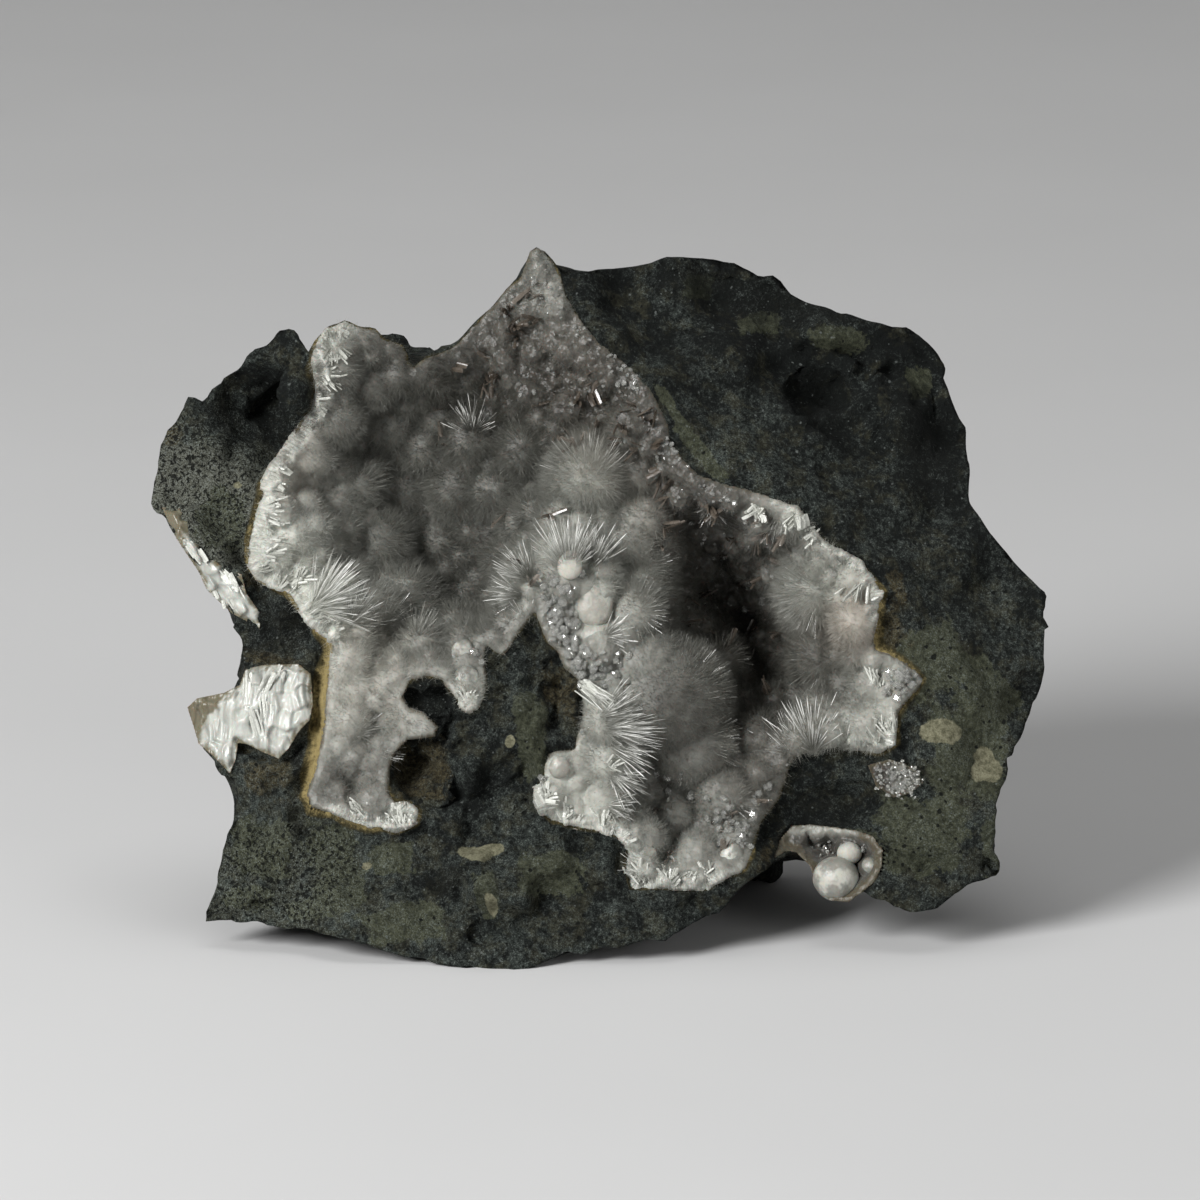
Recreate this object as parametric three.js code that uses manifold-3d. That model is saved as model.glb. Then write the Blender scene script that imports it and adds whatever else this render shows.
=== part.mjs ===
// Thomsonite with natrolite: a block of vesicular basalt broken open across a large crystal-lined hollow.
// Millimetres, +Z up. The block stands on a flat break; its display face leans back from the vertical.
// Shapes are drawn on the display face: across (+X), up the face, and depth behind the face's front plane.
import * as THREE from "three";
import { mergeVertices } from "three/addons/utils/BufferGeometryUtils.js";
import Module from "manifold-3d";

const wasm = await Module();
wasm.setup();

const faceLean = THREE.MathUtils.degToRad(15); // lean of the display face from the vertical
const frontToOrigin = 27; // from the foremost point of the base back to the origin, under the centre of mass
const backDistance = 55; // from the foremost point of the base to the plane of the back
const blockHeart = [-2, 42]; // centre that the block's outline is drawn round
const fitGap = 0.5; // room round the edge of a crust, between it and the rock that holds it
const bedGap = 1.2; // room behind a crust
const crustThickness = 3;
const veinThickness = 4.5;
const crustStep = 4.4; // spacing of the crust's facets
const rockStep = 3.8; // spacing of the facets of the bare rock face
const smallStep = 2.5;
const farInFront = -30; // depth of the front of a cutting solid

// The outline of the whole block, seen square to its display face.
const blockOutline = [
  [-13.5, 0], [-10, 0.5], [-6, 1.6], [-2, 2.1], [0, 3.1], [4, 3.8], [8.4, 3.9], [10, 5.2],
  [13, 6.6], [15.5, 8.2], [16.8, 9.8], [19.6, 11.8], [22, 13.4], [23.6, 14.6], [25.5, 14.2], [28, 12.5],
  [31, 10.6], [33.5, 9.2], [36, 7.7], [40, 7.8], [42.2, 8.1], [44, 9.2], [45.5, 10.6], [48, 10.9],
  [49.6, 11.6], [49.9, 12.8], [48.6, 15], [49, 18], [49.5, 20.5], [49.6, 22.5], [50.5, 25], [51.7, 26.6],
  [52, 28.5], [54, 33], [55.3, 38], [55.4, 42], [56, 43], [55.4, 44.6], [55.9, 46], [55.5, 47.3],
  [53.5, 49.6], [51, 52], [48, 55.5], [46.4, 57.8], [46.5, 61], [46, 65.5], [45.8, 68], [44.5, 70.5],
  [43.2, 74], [43.5, 75.5], [42.5, 77.5], [41, 79.2], [38.5, 80.6], [36, 80.6], [30, 82.4], [26, 83.7],
  [24, 85], [22.8, 86.8], [19.5, 87.1], [17, 88.8], [14, 89.2], [8.5, 89.1], [5.5, 88], [-1.5, 87.5],
  [-4.6, 86.8], [-8, 87.5], [-10, 85.8], [-12, 84.2], [-14, 81.7], [-17, 79.3], [-19.5, 77], [-22, 76.1],
  [-24, 75.8], [-26, 78], [-28, 79.4], [-30, 79.8], [-32, 80.6], [-34, 79.8], [-36, 77.6], [-37.2, 77],
  [-38.6, 79.2], [-41, 79.7], [-44, 76.7], [-47, 73.5], [-48.5, 72.6], [-49.8, 70.8], [-51.5, 71.2], [-52.5, 70],
  [-54, 67.5], [-55.2, 64], [-56, 61], [-56, 58], [-54.5, 56.8], [-53.3, 54.3], [-50, 49.5], [-49, 47.3],
  [-46, 44.6], [-46.6, 42.4], [-45.2, 40.5], [-44.5, 38], [-44.4, 36], [-46, 34.6], [-50.5, 33.4], [-51.3, 32],
  [-50.5, 30], [-50, 27.6], [-48, 25], [-46, 22.5], [-45.8, 20], [-46.8, 15.5], [-48, 10.5], [-49.3, 6],
  [-43, 6], [-36, 5], [-31, 4], [-26, 2], [-23, 1.4], [-19, 0.4],
];

// The lined part of the main hollow: two chambers joined over a bare tongue of rock that rises from below.
const vugOutline = [
  [-25.2, 17], [-29, 17.8], [-32, 18.7], [-34, 20.3], [-36.5, 20.8], [-37, 22.5], [-35.8, 25], [-35, 29],
  [-34.2, 33], [-33.8, 38], [-34.5, 41], [-36.5, 44], [-39, 46.5], [-43, 49], [-44.4, 50.5], [-44.3, 53],
  [-42.8, 58], [-42.5, 62], [-41.5, 64.5], [-38, 69], [-36, 73.5], [-36.7, 75.7], [-36, 77.5], [-34.5, 79.5],
  [-32, 80.8], [-30, 80], [-28, 79.6], [-25.8, 78.2], [-24.3, 77], [-23.8, 75.2], [-21.5, 76.4], [-19, 77.4],
  [-17, 79.5], [-14, 82], [-12, 84.6], [-10, 86.2], [-9.2, 88], [-8.4, 90], [-7, 89.6], [-5.6, 87.5],
  [-4.2, 85], [-2.5, 82], [-1, 79.5], [1, 77.7], [3.5, 75.5], [5, 73.4], [8, 68], [11, 62.8],
  [13, 61], [19, 59], [22, 57.8], [24.3, 57.3], [25.8, 56], [27.5, 54], [30, 52], [32.5, 51],
  [34, 49], [35.3, 46.6], [35.2, 44], [34.5, 41.5], [34.8, 40], [37, 39], [39, 37.8], [40.3, 36.3],
  [39.7, 35], [38, 34], [37, 32.2], [36.5, 30], [36.7, 28.5], [36.2, 27], [32, 27.6], [28.5, 28.4],
  [26, 27.5], [24, 26.5], [22.7, 23], [20, 19.5], [19, 17.5], [18, 15], [16, 12.5], [14.3, 10],
  [9, 10], [5, 9.8], [3.3, 10.3], [3, 13], [2.5, 15.5], [0, 17.3], [-5.5, 18.3], [-7.5, 19.7],
  [-8.8, 22], [-7.8, 23.8], [-7, 26.5], [-5.5, 27.4], [-3, 28], [-2.6, 30.5], [-2, 33], [-2.3, 35.5],
  [-4.5, 38], [-5.3, 40.5], [-6.5, 43], [-8, 45.5], [-9.5, 42.5], [-12, 39], [-14, 39.5], [-15.3, 37],
  [-14.4, 34], [-16.5, 32], [-18, 33.2], [-19, 35.3], [-21.5, 37.2], [-24, 36.2], [-25.2, 34.4], [-22, 32],
  [-20.2, 30], [-24.3, 28.5], [-26, 27], [-26.8, 24.5], [-26, 21.5], [-23, 20.7], [-22, 19.5], [-23, 18],
];

// The white vein on the upper left edge, the fibrous block below it, the pocket under the lower right
// edge, and the patch of small crystals on the ledge.
const veinOutline = [
  [-54.9, 57.6], [-53.2, 54], [-50.3, 49.6], [-49.2, 47.2], [-46.2, 44.4], [-42.6, 42.4], [-42.4, 44.2], [-44.2, 46.8],
  [-44.8, 49.2], [-47.5, 50.4], [-49.5, 52.2], [-51.2, 55], [-52.8, 57.6],
];
const fibreOutline = [
  [-51.6, 32.6], [-50.4, 33.7], [-47, 34.4], [-45, 35.4], [-44.3, 37.4], [-42, 37.9], [-38, 37.7], [-36.7, 36.5],
  [-36.4, 33], [-36.9, 31], [-38, 29.5], [-38.8, 27.5], [-40, 26.2], [-42, 27], [-44, 28], [-45.2, 28.2],
  [-45.5, 26], [-46.2, 24.3], [-48.2, 26.4], [-50.2, 28], [-50.9, 30.3],
];
const pocketOutline = [
  [21.6, 13.6], [22.5, 16.2], [24, 17.8], [26.5, 18], [29, 17.7], [32, 17.3], [34, 16.6], [35.2, 15],
  [35, 12.8], [34.3, 11], [32.6, 9.6], [31, 8.4], [28.6, 8.6], [27, 10.4], [26.2, 12.8], [24.6, 14.4],
  [23.4, 14.7],
];
const druseOutline = [
  [33.4, 25.4], [36, 26.2], [38, 25.6], [39.6, 24.6], [40.2, 23.2], [38.6, 21.9], [36.5, 21.4], [34.4, 22.8],
];

// Depth of the bare rock face behind the front plane at marked places: across, up, depth.
const faceMarks = [
  // bottom band, from the left corner to the notch
  [-48, 7, 5], [-44, 8, 3], [-46, 16, 5], [-45, 22, 7], [-38, 18, 3], [-30, 12, 0.5], [-28, 4, -1], [-13, 1, -2.5],
  [-12, 12, -1.5], [5, 5, -1], [15, 9, 1], [0, 14, -0.5],
  // tongue of bare rock
  [-18, 20, 0], [-10, 22, 0], [-16, 30, 1], [-8, 32, 1.5], [-12, 37, 3], [-8, 43, 2.5], [-4, 36, 3],
  // left edge, from the fibrous block up to the horn
  [-40, 24, 5], [-36, 30, 5], [-42, 32, 6.5], [-50, 30, 9], [-41, 41, 9], [-45, 42, 10], [-37, 44, 6], [-36, 38, 6.5],
  [-48, 47, 10], [-44, 50, 7], [-48, 56, 8], [-53, 60, 11], [-45, 60, 7.5], [-50, 66, 9], [-52, 70, 11], [-46, 71, 14],
  [-41, 70, 15], [-43, 66, 12], [-40, 78, 10],
  // top left rim and the peak
  [-38, 72, 10], [-35, 78, 8], [-30, 79, 9], [-24, 76, 11], [-18, 78, 12], [-12, 84, 12], [-8, 88, 9],
  // along the right rim of the hollow
  [-3, 83, 8], [1, 78, 6], [6, 72, 4], [10, 66, 3], [15, 61, 2.5], [22, 59, 2], [29, 54, 2], [35, 48, 1.5],
  [38, 42, 1.5], [42, 36, 1.5], [38, 30, 0.5], [42, 28, 0],
  // recessed ledge under the rim
  [30, 23, 7], [26, 20, 8], [36, 21, 5], [32, 26, 6], [38, 19, 2.5],
  // lower right
  [38, 12, 2], [44, 14, 2], [48, 13, 4], [47, 22, 2], [49, 28, 4], [46, 34, 2], [50, 38, 5], [54, 42, 8],
  [54, 34, 8],
  // upper right shoulder, falling back to the far edge
  [44, 50, 6], [50, 50, 10], [36, 58, 6], [44, 60, 11], [26, 66, 7], [36, 68, 11], [16, 74, 8], [26, 78, 14],
  [30, 72, 15], [36, 76, 17], [42, 76, 20], [8, 82, 12], [16, 86, 18], [4, 86, 15], [24, 84, 19], [45, 68, 17],
];

// Depth of the crust's surface inside the hollow: across, up, depth.
const hollowMarks = [
  // left chamber and its leg
  [-38, 55, 7], [-34, 60, 15], [-29, 66, 19], [-24, 60, 22], [-22, 52, 22], [-17, 48, 20], [-28, 50, 17], [-32, 46, 9],
  [-28, 42, 11], [-24, 44, 15], [-20, 40, 14], [-30, 40, 7], [-30, 36, 5], [-32, 32, 4.5], [-28, 30, 7], [-31, 25, 7],
  [-28, 20, 4], [-24, 19, 3], [-35, 67, 12], [-33, 73, 10], [-28, 76, 12], [-24, 70, 17], [-33, 78, 6],
  // upper middle and the peak
  [-18, 72, 15], [-12, 80, 12], [-8, 86, 8], [-3, 80, 8], [-8, 75, 11], [-14, 67, 14], [-10, 62, 15], [-14, 56, 18],
  [-4, 70, 10], [2, 72, 7.5], [6, 67, 6],
  // crest over the tongue and down its right side
  [-1, 62, 6], [-4, 56, 4], [-4, 51, 1], [2, 55, 5], [0, 47, 0.5], [-1, 40, 1], [1, 35, 0.5], [2, 30, 0.5],
  [0, 22, 1], [-5, 22, 0], [-5, 26, 1.5], [4, 44, 3], [6, 50, 8], [5, 38, 5], [6, 24, 5],
  // right leg
  [9, 32, 5.5], [14, 36, 12], [10, 24, 9], [9, 18, 9], [12, 21, 8], [16, 22, 6], [16, 17, 5], [12, 13, 4.5],
  [6, 13, 2.5], [18, 26, 8],
  // right chamber
  [10, 60, 9], [14, 56, 13], [12, 50, 17], [16, 48, 24], [20, 44, 28], [18, 38, 26], [22, 36, 22], [24, 42, 22],
  [22, 52, 14], [21, 56, 7], [24, 55, 5], [27, 50, 8], [26, 46, 6], [30, 48, 3], [32, 43, 3.5], [28, 38, 14],
  [31, 38, 8], [33, 35, 4.5], [36, 37, 4], [34, 29, 2.5], [30, 30, 3.5], [26, 29, 4], [22, 29, 6], [20, 31, 12],
  [21, 24, 4],
];

// Thomsonite balls in the main hollow: across, up, radius.
const thomsoniteBalls = [
  // left rim and left chamber
  [-40.5, 57, 2.8], [-41, 51.8, 2.8], [-34, 45.5, 2.8], [-31, 38.5, 2.6], [-33, 67, 3], [-27, 71, 3.4], [-30, 60, 3.4],
  [-22, 62, 3.2], [-26, 52, 3.2], [-28, 43, 3], [-31, 27, 3],
  // upper middle
  [-16.5, 66.5, 3.8], [-9.5, 65, 3], [-8, 77, 3], [4, 69, 3], [-1.5, 61.5, 4.2],
  // right leg and right chamber
  [9, 32, 7], [16, 21.5, 3.4], [11, 23, 2.8], [12, 13.4, 3.2], [26.5, 47, 4.2], [28, 38.5, 3.8], [32, 43, 3],
  [34, 34, 2.8],
  // crest over the tongue and down its right side
  [-9, 50, 2.4], [-4, 50.8, 1.9], [-0.5, 50.5, 2], [-0.8, 45.5, 2.9], [-0.6, 40.6, 2.6], [1, 30, 3.4],
  [1, 23, 2.8], [-6.4, 21.6, 2.2], [-16, 39.6, 1.8],
];

// Natrolite sprays: across, up, the way they point on the face (degrees from across, towards up), the half
// angle of the fan, and the needles' length.
const natroliteSprays = [
  [-16.5, 67, 90, 55, 7.5], [-1.5, 61.5, 95, 100, 9], [-6.5, 51.5, 105, 40, 6.5], [-2, 51.5, 80, 35, 6.5],
  [-9.5, 49.5, 135, 35, 7], [-11.5, 45, 165, 40, 5.5], [-34, 46, 35, 50, 8.5], [-28.5, 42.5, 60, 60, 8],
  [1, 33.5, -25, 30, 6.5], [1.5, 29.5, 5, 40, 8], [1.5, 24.5, -15, 40, 7], [26, 28.8, 92, 45, 7],
  [22.5, 28.8, 130, 30, 6.5], [26.5, 47, 185, 70, 8.5], [28, 38.5, 230, 60, 7], [4.5, 64.5, 15, 50, 6],
  [9, 32, 30, 60, 9.5], [-30, 29, -30, 40, 6], [-20, 56, 80, 60, 7],
];
const needlesPerSpray = 5;
const needleRadius = 0.6; // at the widest place of a needle, just under its tip
const needleTip = 0.82; // share of a needle's length where its tip begins
const domeSides = 6;

// Pits and bare recesses in the rock face: across, up, width, height, depth.
const rockPits = [
  [-23.2, 24.8, 7, 8, 6], [-22, 34, 4.5, 5, 3], [29, 71.5, 7, 5, 3], [36, 73.4, 4, 4, 2.6],
  [-43, 71, 8, 9, 3], [-5.5, 33, 4.5, 9, 2], [-42.5, 8.6, 3, 2, 1.5], [-11, 5.5, 3.5, 2, 1.2],
  [-16, 5, 3, 2, 1.2], [48.5, 12.6, 3, 3, 1.4],
];

// Planes that the back and sides broke along: outward direction (across, up, depth) and distance from the
// middle of the block.
const breakPlanes = [
  [[-0.68, 0.12, 0.72], 41], [[0.74, 0.1, 0.67], 45], [[0.16, 0.7, 0.7], 41], [[-0.5, 0.6, 0.62], 43],
  [[0.55, 0.55, 0.63], 49.5], [[-0.62, -0.4, 0.68], 40], [[0.66, -0.45, 0.6], 44], [[-0.12, 0.3, 0.95], 27.5],
  [[0.35, -0.1, 0.93], 32], [[-0.3, -0.25, 0.92], 33], [[-0.88, 0.05, 0.45], 51],
];

// Puts a place on the display face (across, up, depth) into the part's own frame.
function standing(across, up, depth) {
  return new THREE.Vector3(
    across,
    up * Math.sin(faceLean) + depth * Math.cos(faceLean) - frontToOrigin,
    up * Math.cos(faceLean) - depth * Math.sin(faceLean),
  );
}

// Repeatable number from -1 to 1 for a place, so that the break looks irregular.
function unevenness(a, b, c = 0) {
  const turned = Math.sin(a * 12.9898 + b * 78.233 + c * 37.719) * 43758.5453;
  return 2 * (turned - Math.floor(turned)) - 1;
}

// Distance from a place to an outline, positive inside it and negative outside.
function insideBy(outline, x, y) {
  let nearest = Infinity;
  let inside = false;
  outline.forEach(([ax, ay], i) => {
    const [bx, by] = outline[(i + 1) % outline.length];
    const along = ((x - ax) * (bx - ax) + (y - ay) * (by - ay)) / ((bx - ax) ** 2 + (by - ay) ** 2);
    const t = THREE.MathUtils.clamp(along, 0, 1);
    nearest = Math.min(nearest, Math.hypot(x - ax - t * (bx - ax), y - ay - t * (by - ay)));
    if (ay > y !== by > y && x < ax + ((y - ay) / (by - ay)) * (bx - ax)) inside = !inside;
  });
  return inside ? nearest : -nearest;
}

// Mean depth of the marks round a place, each weighted by the inverse fourth power of its distance.
function markedDepth(marks, x, y) {
  const softening = 3;
  let sum = 0;
  let weights = 0;
  for (const [mx, my, depth] of marks) {
    const weight = 1 / ((x - mx) ** 2 + (y - my) ** 2 + softening ** 2) ** 2;
    sum += weight * depth;
    weights += weight;
  }
  return sum / weights;
}

// Depth of the bare rock face, with its pits: each pit is a bowl with a parabolic section.
function rockDepth(x, y) {
  let depth = markedDepth(faceMarks, x, y);
  for (const [px, py, width, height, deep] of rockPits) {
    const reach = ((2 * (x - px)) / width) ** 2 + ((2 * (y - py)) / height) ** 2;
    if (reach < 1) depth += deep * (1 - reach);
  }
  return depth;
}

// Depth of the crust in the main hollow: level with the rock at the rim, then down to the marked depths.
function vugDepth(x, y) {
  const rimWidth = 1.2;
  const wallWidth = 5;
  const proud = 0.7;
  const share = THREE.MathUtils.smoothstep(insideBy(vugOutline, x, y), rimWidth, rimWidth + wallWidth);
  const rim = markedDepth(faceMarks, x, y) - proud;
  return rim + (markedDepth(hollowMarks, x, y) - rim) * share;
}

// A closed mesh as a solid: only the places of its corners are kept, and doubled corners are joined.
function solidOf(geometry) {
  const bare = geometry.clone();
  for (const name of Object.keys(bare.attributes)) if (name !== "position") bare.deleteAttribute(name);
  const merged = mergeVertices(bare, 1e-4);
  return new wasm.Manifold(
    new wasm.Mesh({
      numProp: 3,
      vertProperties: merged.attributes.position.array,
      triVerts: new Uint32Array(merged.index.array),
    }),
  );
}

// The largest single body of a solid as a geometry, so that cut-off needle ends are dropped.
function geometryOf(solid) {
  const whole = solid.decompose().reduce((a, b) => (b.volume() > a.volume() ? b : a));
  const { vertProperties, triVerts } = whole.getMesh();
  const geometry = new THREE.BufferGeometry();
  geometry.setAttribute("position", new THREE.BufferAttribute(vertProperties, 3));
  geometry.setIndex(new THREE.BufferAttribute(triVerts, 1));
  geometry.computeVertexNormals();
  return geometry;
}

function geometryFrom(points, triangles) {
  const geometry = new THREE.BufferGeometry().setFromPoints(points);
  geometry.setIndex(triangles.flat());
  return geometry;
}

// A slab on the display face: every place where inside(x, y) is positive, from front(x, y) to back(x, y) in
// depth. Its plan is cut out of a square mesh, with corners where the mesh lines cross the outline.
function slab(inside, step, front, back) {
  const reach = 60;
  const tooNear = 0.15 * step; // keeps the cut corners off the mesh corners, so no sliver is left
  const cells = Math.ceil(reach / step);
  const values = new Map();
  const corners = new Map();
  const plan = [];
  const corner = (i, j) => `${i},${j}`;
  function value(i, j) {
    const key = corner(i, j);
    if (!values.has(key)) {
      const v = inside(i * step, j * step);
      values.set(key, v < 0 ? Math.min(v, -tooNear) : Math.max(v, tooNear));
    }
    return values.get(key);
  }
  function place(key, x, y) {
    if (!corners.has(key)) corners.set(key, plan.push([x, y]) - 1);
    return corners.get(key);
  }
  const triangles = [];
  for (let i = -cells; i < cells; i++)
    for (let j = -cells; j < 2 * cells; j++) {
      const ring = [[i, j], [i + 1, j], [i + 1, j + 1], [i, j + 1]];
      const polygon = [];
      ring.forEach(([a, b], k) => {
        const [c, d] = ring[(k + 1) % 4];
        const here = value(a, b);
        const next = value(c, d);
        if (here > 0) polygon.push(place(corner(a, b), a * step, b * step));
        if (here > 0 !== next > 0) {
          const t = here / (here - next);
          const key = [corner(a, b), corner(c, d)].sort().join("|");
          polygon.push(place(key, (a + t * (c - a)) * step, (b + t * (d - b)) * step));
        }
      });
      for (let k = 2; k < polygon.length; k++) triangles.push([polygon[0], polygon[k - 1], polygon[k]]);
    }
  const count = plan.length;
  const points = [
    ...plan.map(([x, y]) => standing(x, y, front(x, y))),
    ...plan.map(([x, y]) => standing(x, y, back(x, y))),
  ];
  const edges = new Set(triangles.flatMap(([a, b, c]) => [`${a}>${b}`, `${b}>${c}`, `${c}>${a}`]));
  const walls = [];
  for (const [a, b, c] of triangles)
    for (const [from, to] of [[a, b], [b, c], [c, a]])
      if (!edges.has(`${to}>${from}`))
        walls.push([from, from + count, to], [to, from + count, to + count]);
  const behind = triangles.map(([a, b, c]) => [a + count, c + count, b + count]);
  return solidOf(geometryFrom(points, [...triangles, ...behind, ...walls]));
}

// Room that a crust takes out of the rock, from well in front of it to a little behind its back.
function roomFor(outline, step, back, edge, bed) {
  return slab(
    (x, y) => insideBy(outline, x, y) + edge,
    step,
    () => farInFront,
    (x, y) => back(x, y) + bed,
  );
}

// The basalt block: a body with the exact outline, its face cut to the rock's depth and its back broken along
// planes. The outline's fine detail is evened out ring by ring towards the back.
function blockSolid() {
  const [heartX, heartY] = blockHeart;
  const heartDepth = 12;
  const backDepth = (y) => (backDistance - y * Math.sin(faceLean)) / Math.cos(faceLean);
  const count = blockOutline.length;
  function evened(i, span) {
    let x = 0;
    let y = 0;
    for (let k = -span; k <= span; k++) {
      const [ox, oy] = blockOutline[(i + k + count) % count];
      x += ox / (2 * span + 1);
      y += oy / (2 * span + 1);
    }
    return [x, y];
  }
  // each ring: share of the outline's size, share of the way to the back, points evened on each side
  const rings = [[1, 0, 0], [1, 0.25, 0], [0.97, 0.6, 1], [0.9, 0.85, 3], [0.72, 1, 5]];
  const points = rings.flatMap(([share, way, span], ring) =>
    blockOutline.map((_, i) => {
      const [ox, oy] = evened(i, span);
      const rough = ring < 2 ? 1 : 1 - 0.012 * (1 + unevenness(i, ring));
      const x = heartX + share * rough * (ox - heartX);
      const y = heartY + share * rough * (oy - heartY);
      const edge = markedDepth(faceMarks, ox, oy);
      const depth = ring === 0 ? farInFront / 2 : edge + (backDepth(y) - edge) * way;
      return standing(x, y, depth);
    }),
  );
  const frontPole = points.push(standing(heartX, heartY, farInFront / 2)) - 1;
  const backPole = points.push(standing(heartX, heartY, backDepth(heartY))) - 1;
  const last = (rings.length - 1) * count;
  const triangles = [];
  for (let i = 0; i < count; i++) {
    const next = (i + 1) % count;
    triangles.push([frontPole, i, next], [backPole, last + next, last + i]);
    for (let k = 0; k < rings.length - 1; k++) {
      const [a, b] = [k * count + i, k * count + next];
      triangles.push([a, a + count, b], [b, a + count, b + count]);
    }
  }
  const middle = standing(heartX, heartY, heartDepth);
  const waste = breakPlanes.map(([way, distance]) => {
    const outward = standing(...way).sub(standing(0, 0, 0)).normalize();
    const box = new THREE.BoxGeometry(240, 240, 60);
    box.applyQuaternion(new THREE.Quaternion().setFromUnitVectors(new THREE.Vector3(0, 0, 1), outward));
    const centre = middle.clone().addScaledVector(outward, distance + 30);
    box.translate(centre.x, centre.y, centre.z);
    return solidOf(box);
  });
  const roughness = 0.5;
  const behindFace = slab(
    (x, y) => insideBy(blockOutline, x, y) + 2 * rockStep,
    rockStep,
    (x, y) => rockDepth(x, y) + roughness * unevenness(x, y),
    () => 90,
  );
  return solidOf(geometryFrom(points, triangles)).intersect(behindFace).subtract(wasm.Manifold.union(waste));
}

// A natrolite needle with three flat sides, widening from its root to its tip as the needles of a spray do.
function needle(from, direction, length) {
  const profile = [
    new THREE.Vector2(0, 0),
    new THREE.Vector2(needleRadius, length * needleTip),
    new THREE.Vector2(0, length),
  ];
  const geometry = new THREE.LatheGeometry(profile, 3);
  const turn = new THREE.Quaternion().setFromUnitVectors(new THREE.Vector3(0, 1, 0), direction);
  geometry.applyQuaternion(turn);
  geometry.translate(from.x, from.y, from.z);
  return solidOf(geometry);
}

// The needles of one spray, fanned over its half angle and turned out of the face by turns.
function sprayNeedles([x, y, way, fan, length], index) {
  const sunk = 0.8;
  const base = standing(x, y, vugDepth(x, y) + sunk);
  return Array.from({ length: needlesPerSpray }, (_, k) => {
    const across = way + fan * ((2 * k) / (needlesPerSpray - 1) - 1);
    const outwards = 30 + 18 * unevenness(index, k);
    const turn = THREE.MathUtils.degToRad(across);
    const lift = THREE.MathUtils.degToRad(outwards);
    const direction = standing(
      Math.cos(turn) * Math.cos(lift),
      Math.sin(turn) * Math.cos(lift),
      -Math.sin(lift),
    ).sub(standing(0, 0, 0));
    return needle(base, direction.normalize(), length * (1 + 0.15 * unevenness(k, index)));
  });
}

// A thomsonite ball that is half sunk in the crust: a faceted dome on a short foot.
function dome([x, y, radius]) {
  const profile = [
    new THREE.Vector2(0, -0.45 * radius),
    new THREE.Vector2(0.96 * radius, -0.45 * radius),
    new THREE.Vector2(0.98 * radius, 0.2 * radius),
    new THREE.Vector2(0.62 * radius, 0.78 * radius),
    new THREE.Vector2(0, radius),
  ];
  const geometry = new THREE.LatheGeometry(profile, domeSides);
  const outward = standing(0, 0, -1).sub(standing(0, 0, 0));
  geometry.applyQuaternion(new THREE.Quaternion().setFromUnitVectors(new THREE.Vector3(0, 1, 0), outward));
  const centre = standing(x, y, vugDepth(x, y));
  geometry.translate(centre.x, centre.y, centre.z);
  return solidOf(geometry);
}

// A ball that stands nearly free in the small pocket.
function freeBall([x, y, radius]) {
  const centre = standing(x, y, pocketDepth(x, y));
  const geometry = new THREE.IcosahedronGeometry(radius, 1);
  geometry.translate(centre.x, centre.y, centre.z);
  return solidOf(geometry);
}

// A crust with what grows on it, kept inside the room that is cut for it.
function crustSolid(outline, step, front, thickness, growths) {
  const back = (x, y) => front(x, y) + thickness;
  const sheet = slab((x, y) => insideBy(outline, x, y), step, front, back);
  const room = roomFor(outline, step, back, fitGap / 3, bedGap / 3);
  return wasm.Manifold.union([sheet, ...growths]).intersect(room);
}

const materials = {
  basalt: new THREE.MeshStandardMaterial({ color: 0x30342f, roughness: 0.92, metalness: 0 }),
  crust: new THREE.MeshStandardMaterial({ color: 0xb9b6ac, roughness: 0.45, metalness: 0 }),
  fibres: new THREE.MeshStandardMaterial({ color: 0xd8d8d0, roughness: 0.35, metalness: 0 }),
  druse: new THREE.MeshStandardMaterial({ color: 0x9aa0a0, roughness: 0.2, metalness: 0 }),
};

function named(name, solid, material) {
  const mesh = new THREE.Mesh(geometryOf(solid), material);
  mesh.name = name;
  return mesh;
}

// Depths of the four small linings, each a little proud of the rock that holds it.
const veinDepth = (x, y) => markedDepth(faceMarks, x, y) - 0.8 - 0.5 * unevenness(x, y);
const fibreDepth = (x, y) => markedDepth(faceMarks, x, y) - 1.2 - 0.9 * unevenness(x, y);
const pocketDepth = (x, y) =>
  markedDepth(faceMarks, x, y) + 2.5 * THREE.MathUtils.smoothstep(insideBy(pocketOutline, x, y), 0.3, 2.5);
const druseDepth = (x, y) => markedDepth(faceMarks, x, y) - 0.7 - 0.4 * unevenness(x, y);
const linings = [
  [veinOutline, smallStep, veinDepth, veinThickness],
  [fibreOutline, smallStep, fibreDepth, veinThickness],
  [pocketOutline, smallStep, pocketDepth, crustThickness],
  [druseOutline, smallStep, druseDepth, crustThickness / 2],
  [vugOutline, crustStep, vugDepth, crustThickness],
];

function matrixSolid() {
  const ground = new THREE.BoxGeometry(200, 200, 40);
  ground.translate(0, 0, -20);
  const rooms = linings.map(([outline, step, front, thickness]) =>
    roomFor(outline, step, (x, y) => front(x, y) + thickness, fitGap, bedGap),
  );
  return blockSolid().subtract(wasm.Manifold.union([solidOf(ground), ...rooms]));
}

function vugCrustSolid() {
  const balls = thomsoniteBalls.map(dome);
  const needles = natroliteSprays.flatMap(sprayNeedles);
  return crustSolid(vugOutline, crustStep, vugDepth, crustThickness, [...balls, ...needles]);
}

function pocketSolid() {
  const pocketBalls = [[29.6, 11.6, 3.4], [32, 14.8, 2], [24.6, 16, 1.5]];
  const growths = pocketBalls.map(freeBall);
  return crustSolid(pocketOutline, smallStep, pocketDepth, crustThickness, growths);
}

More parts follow.
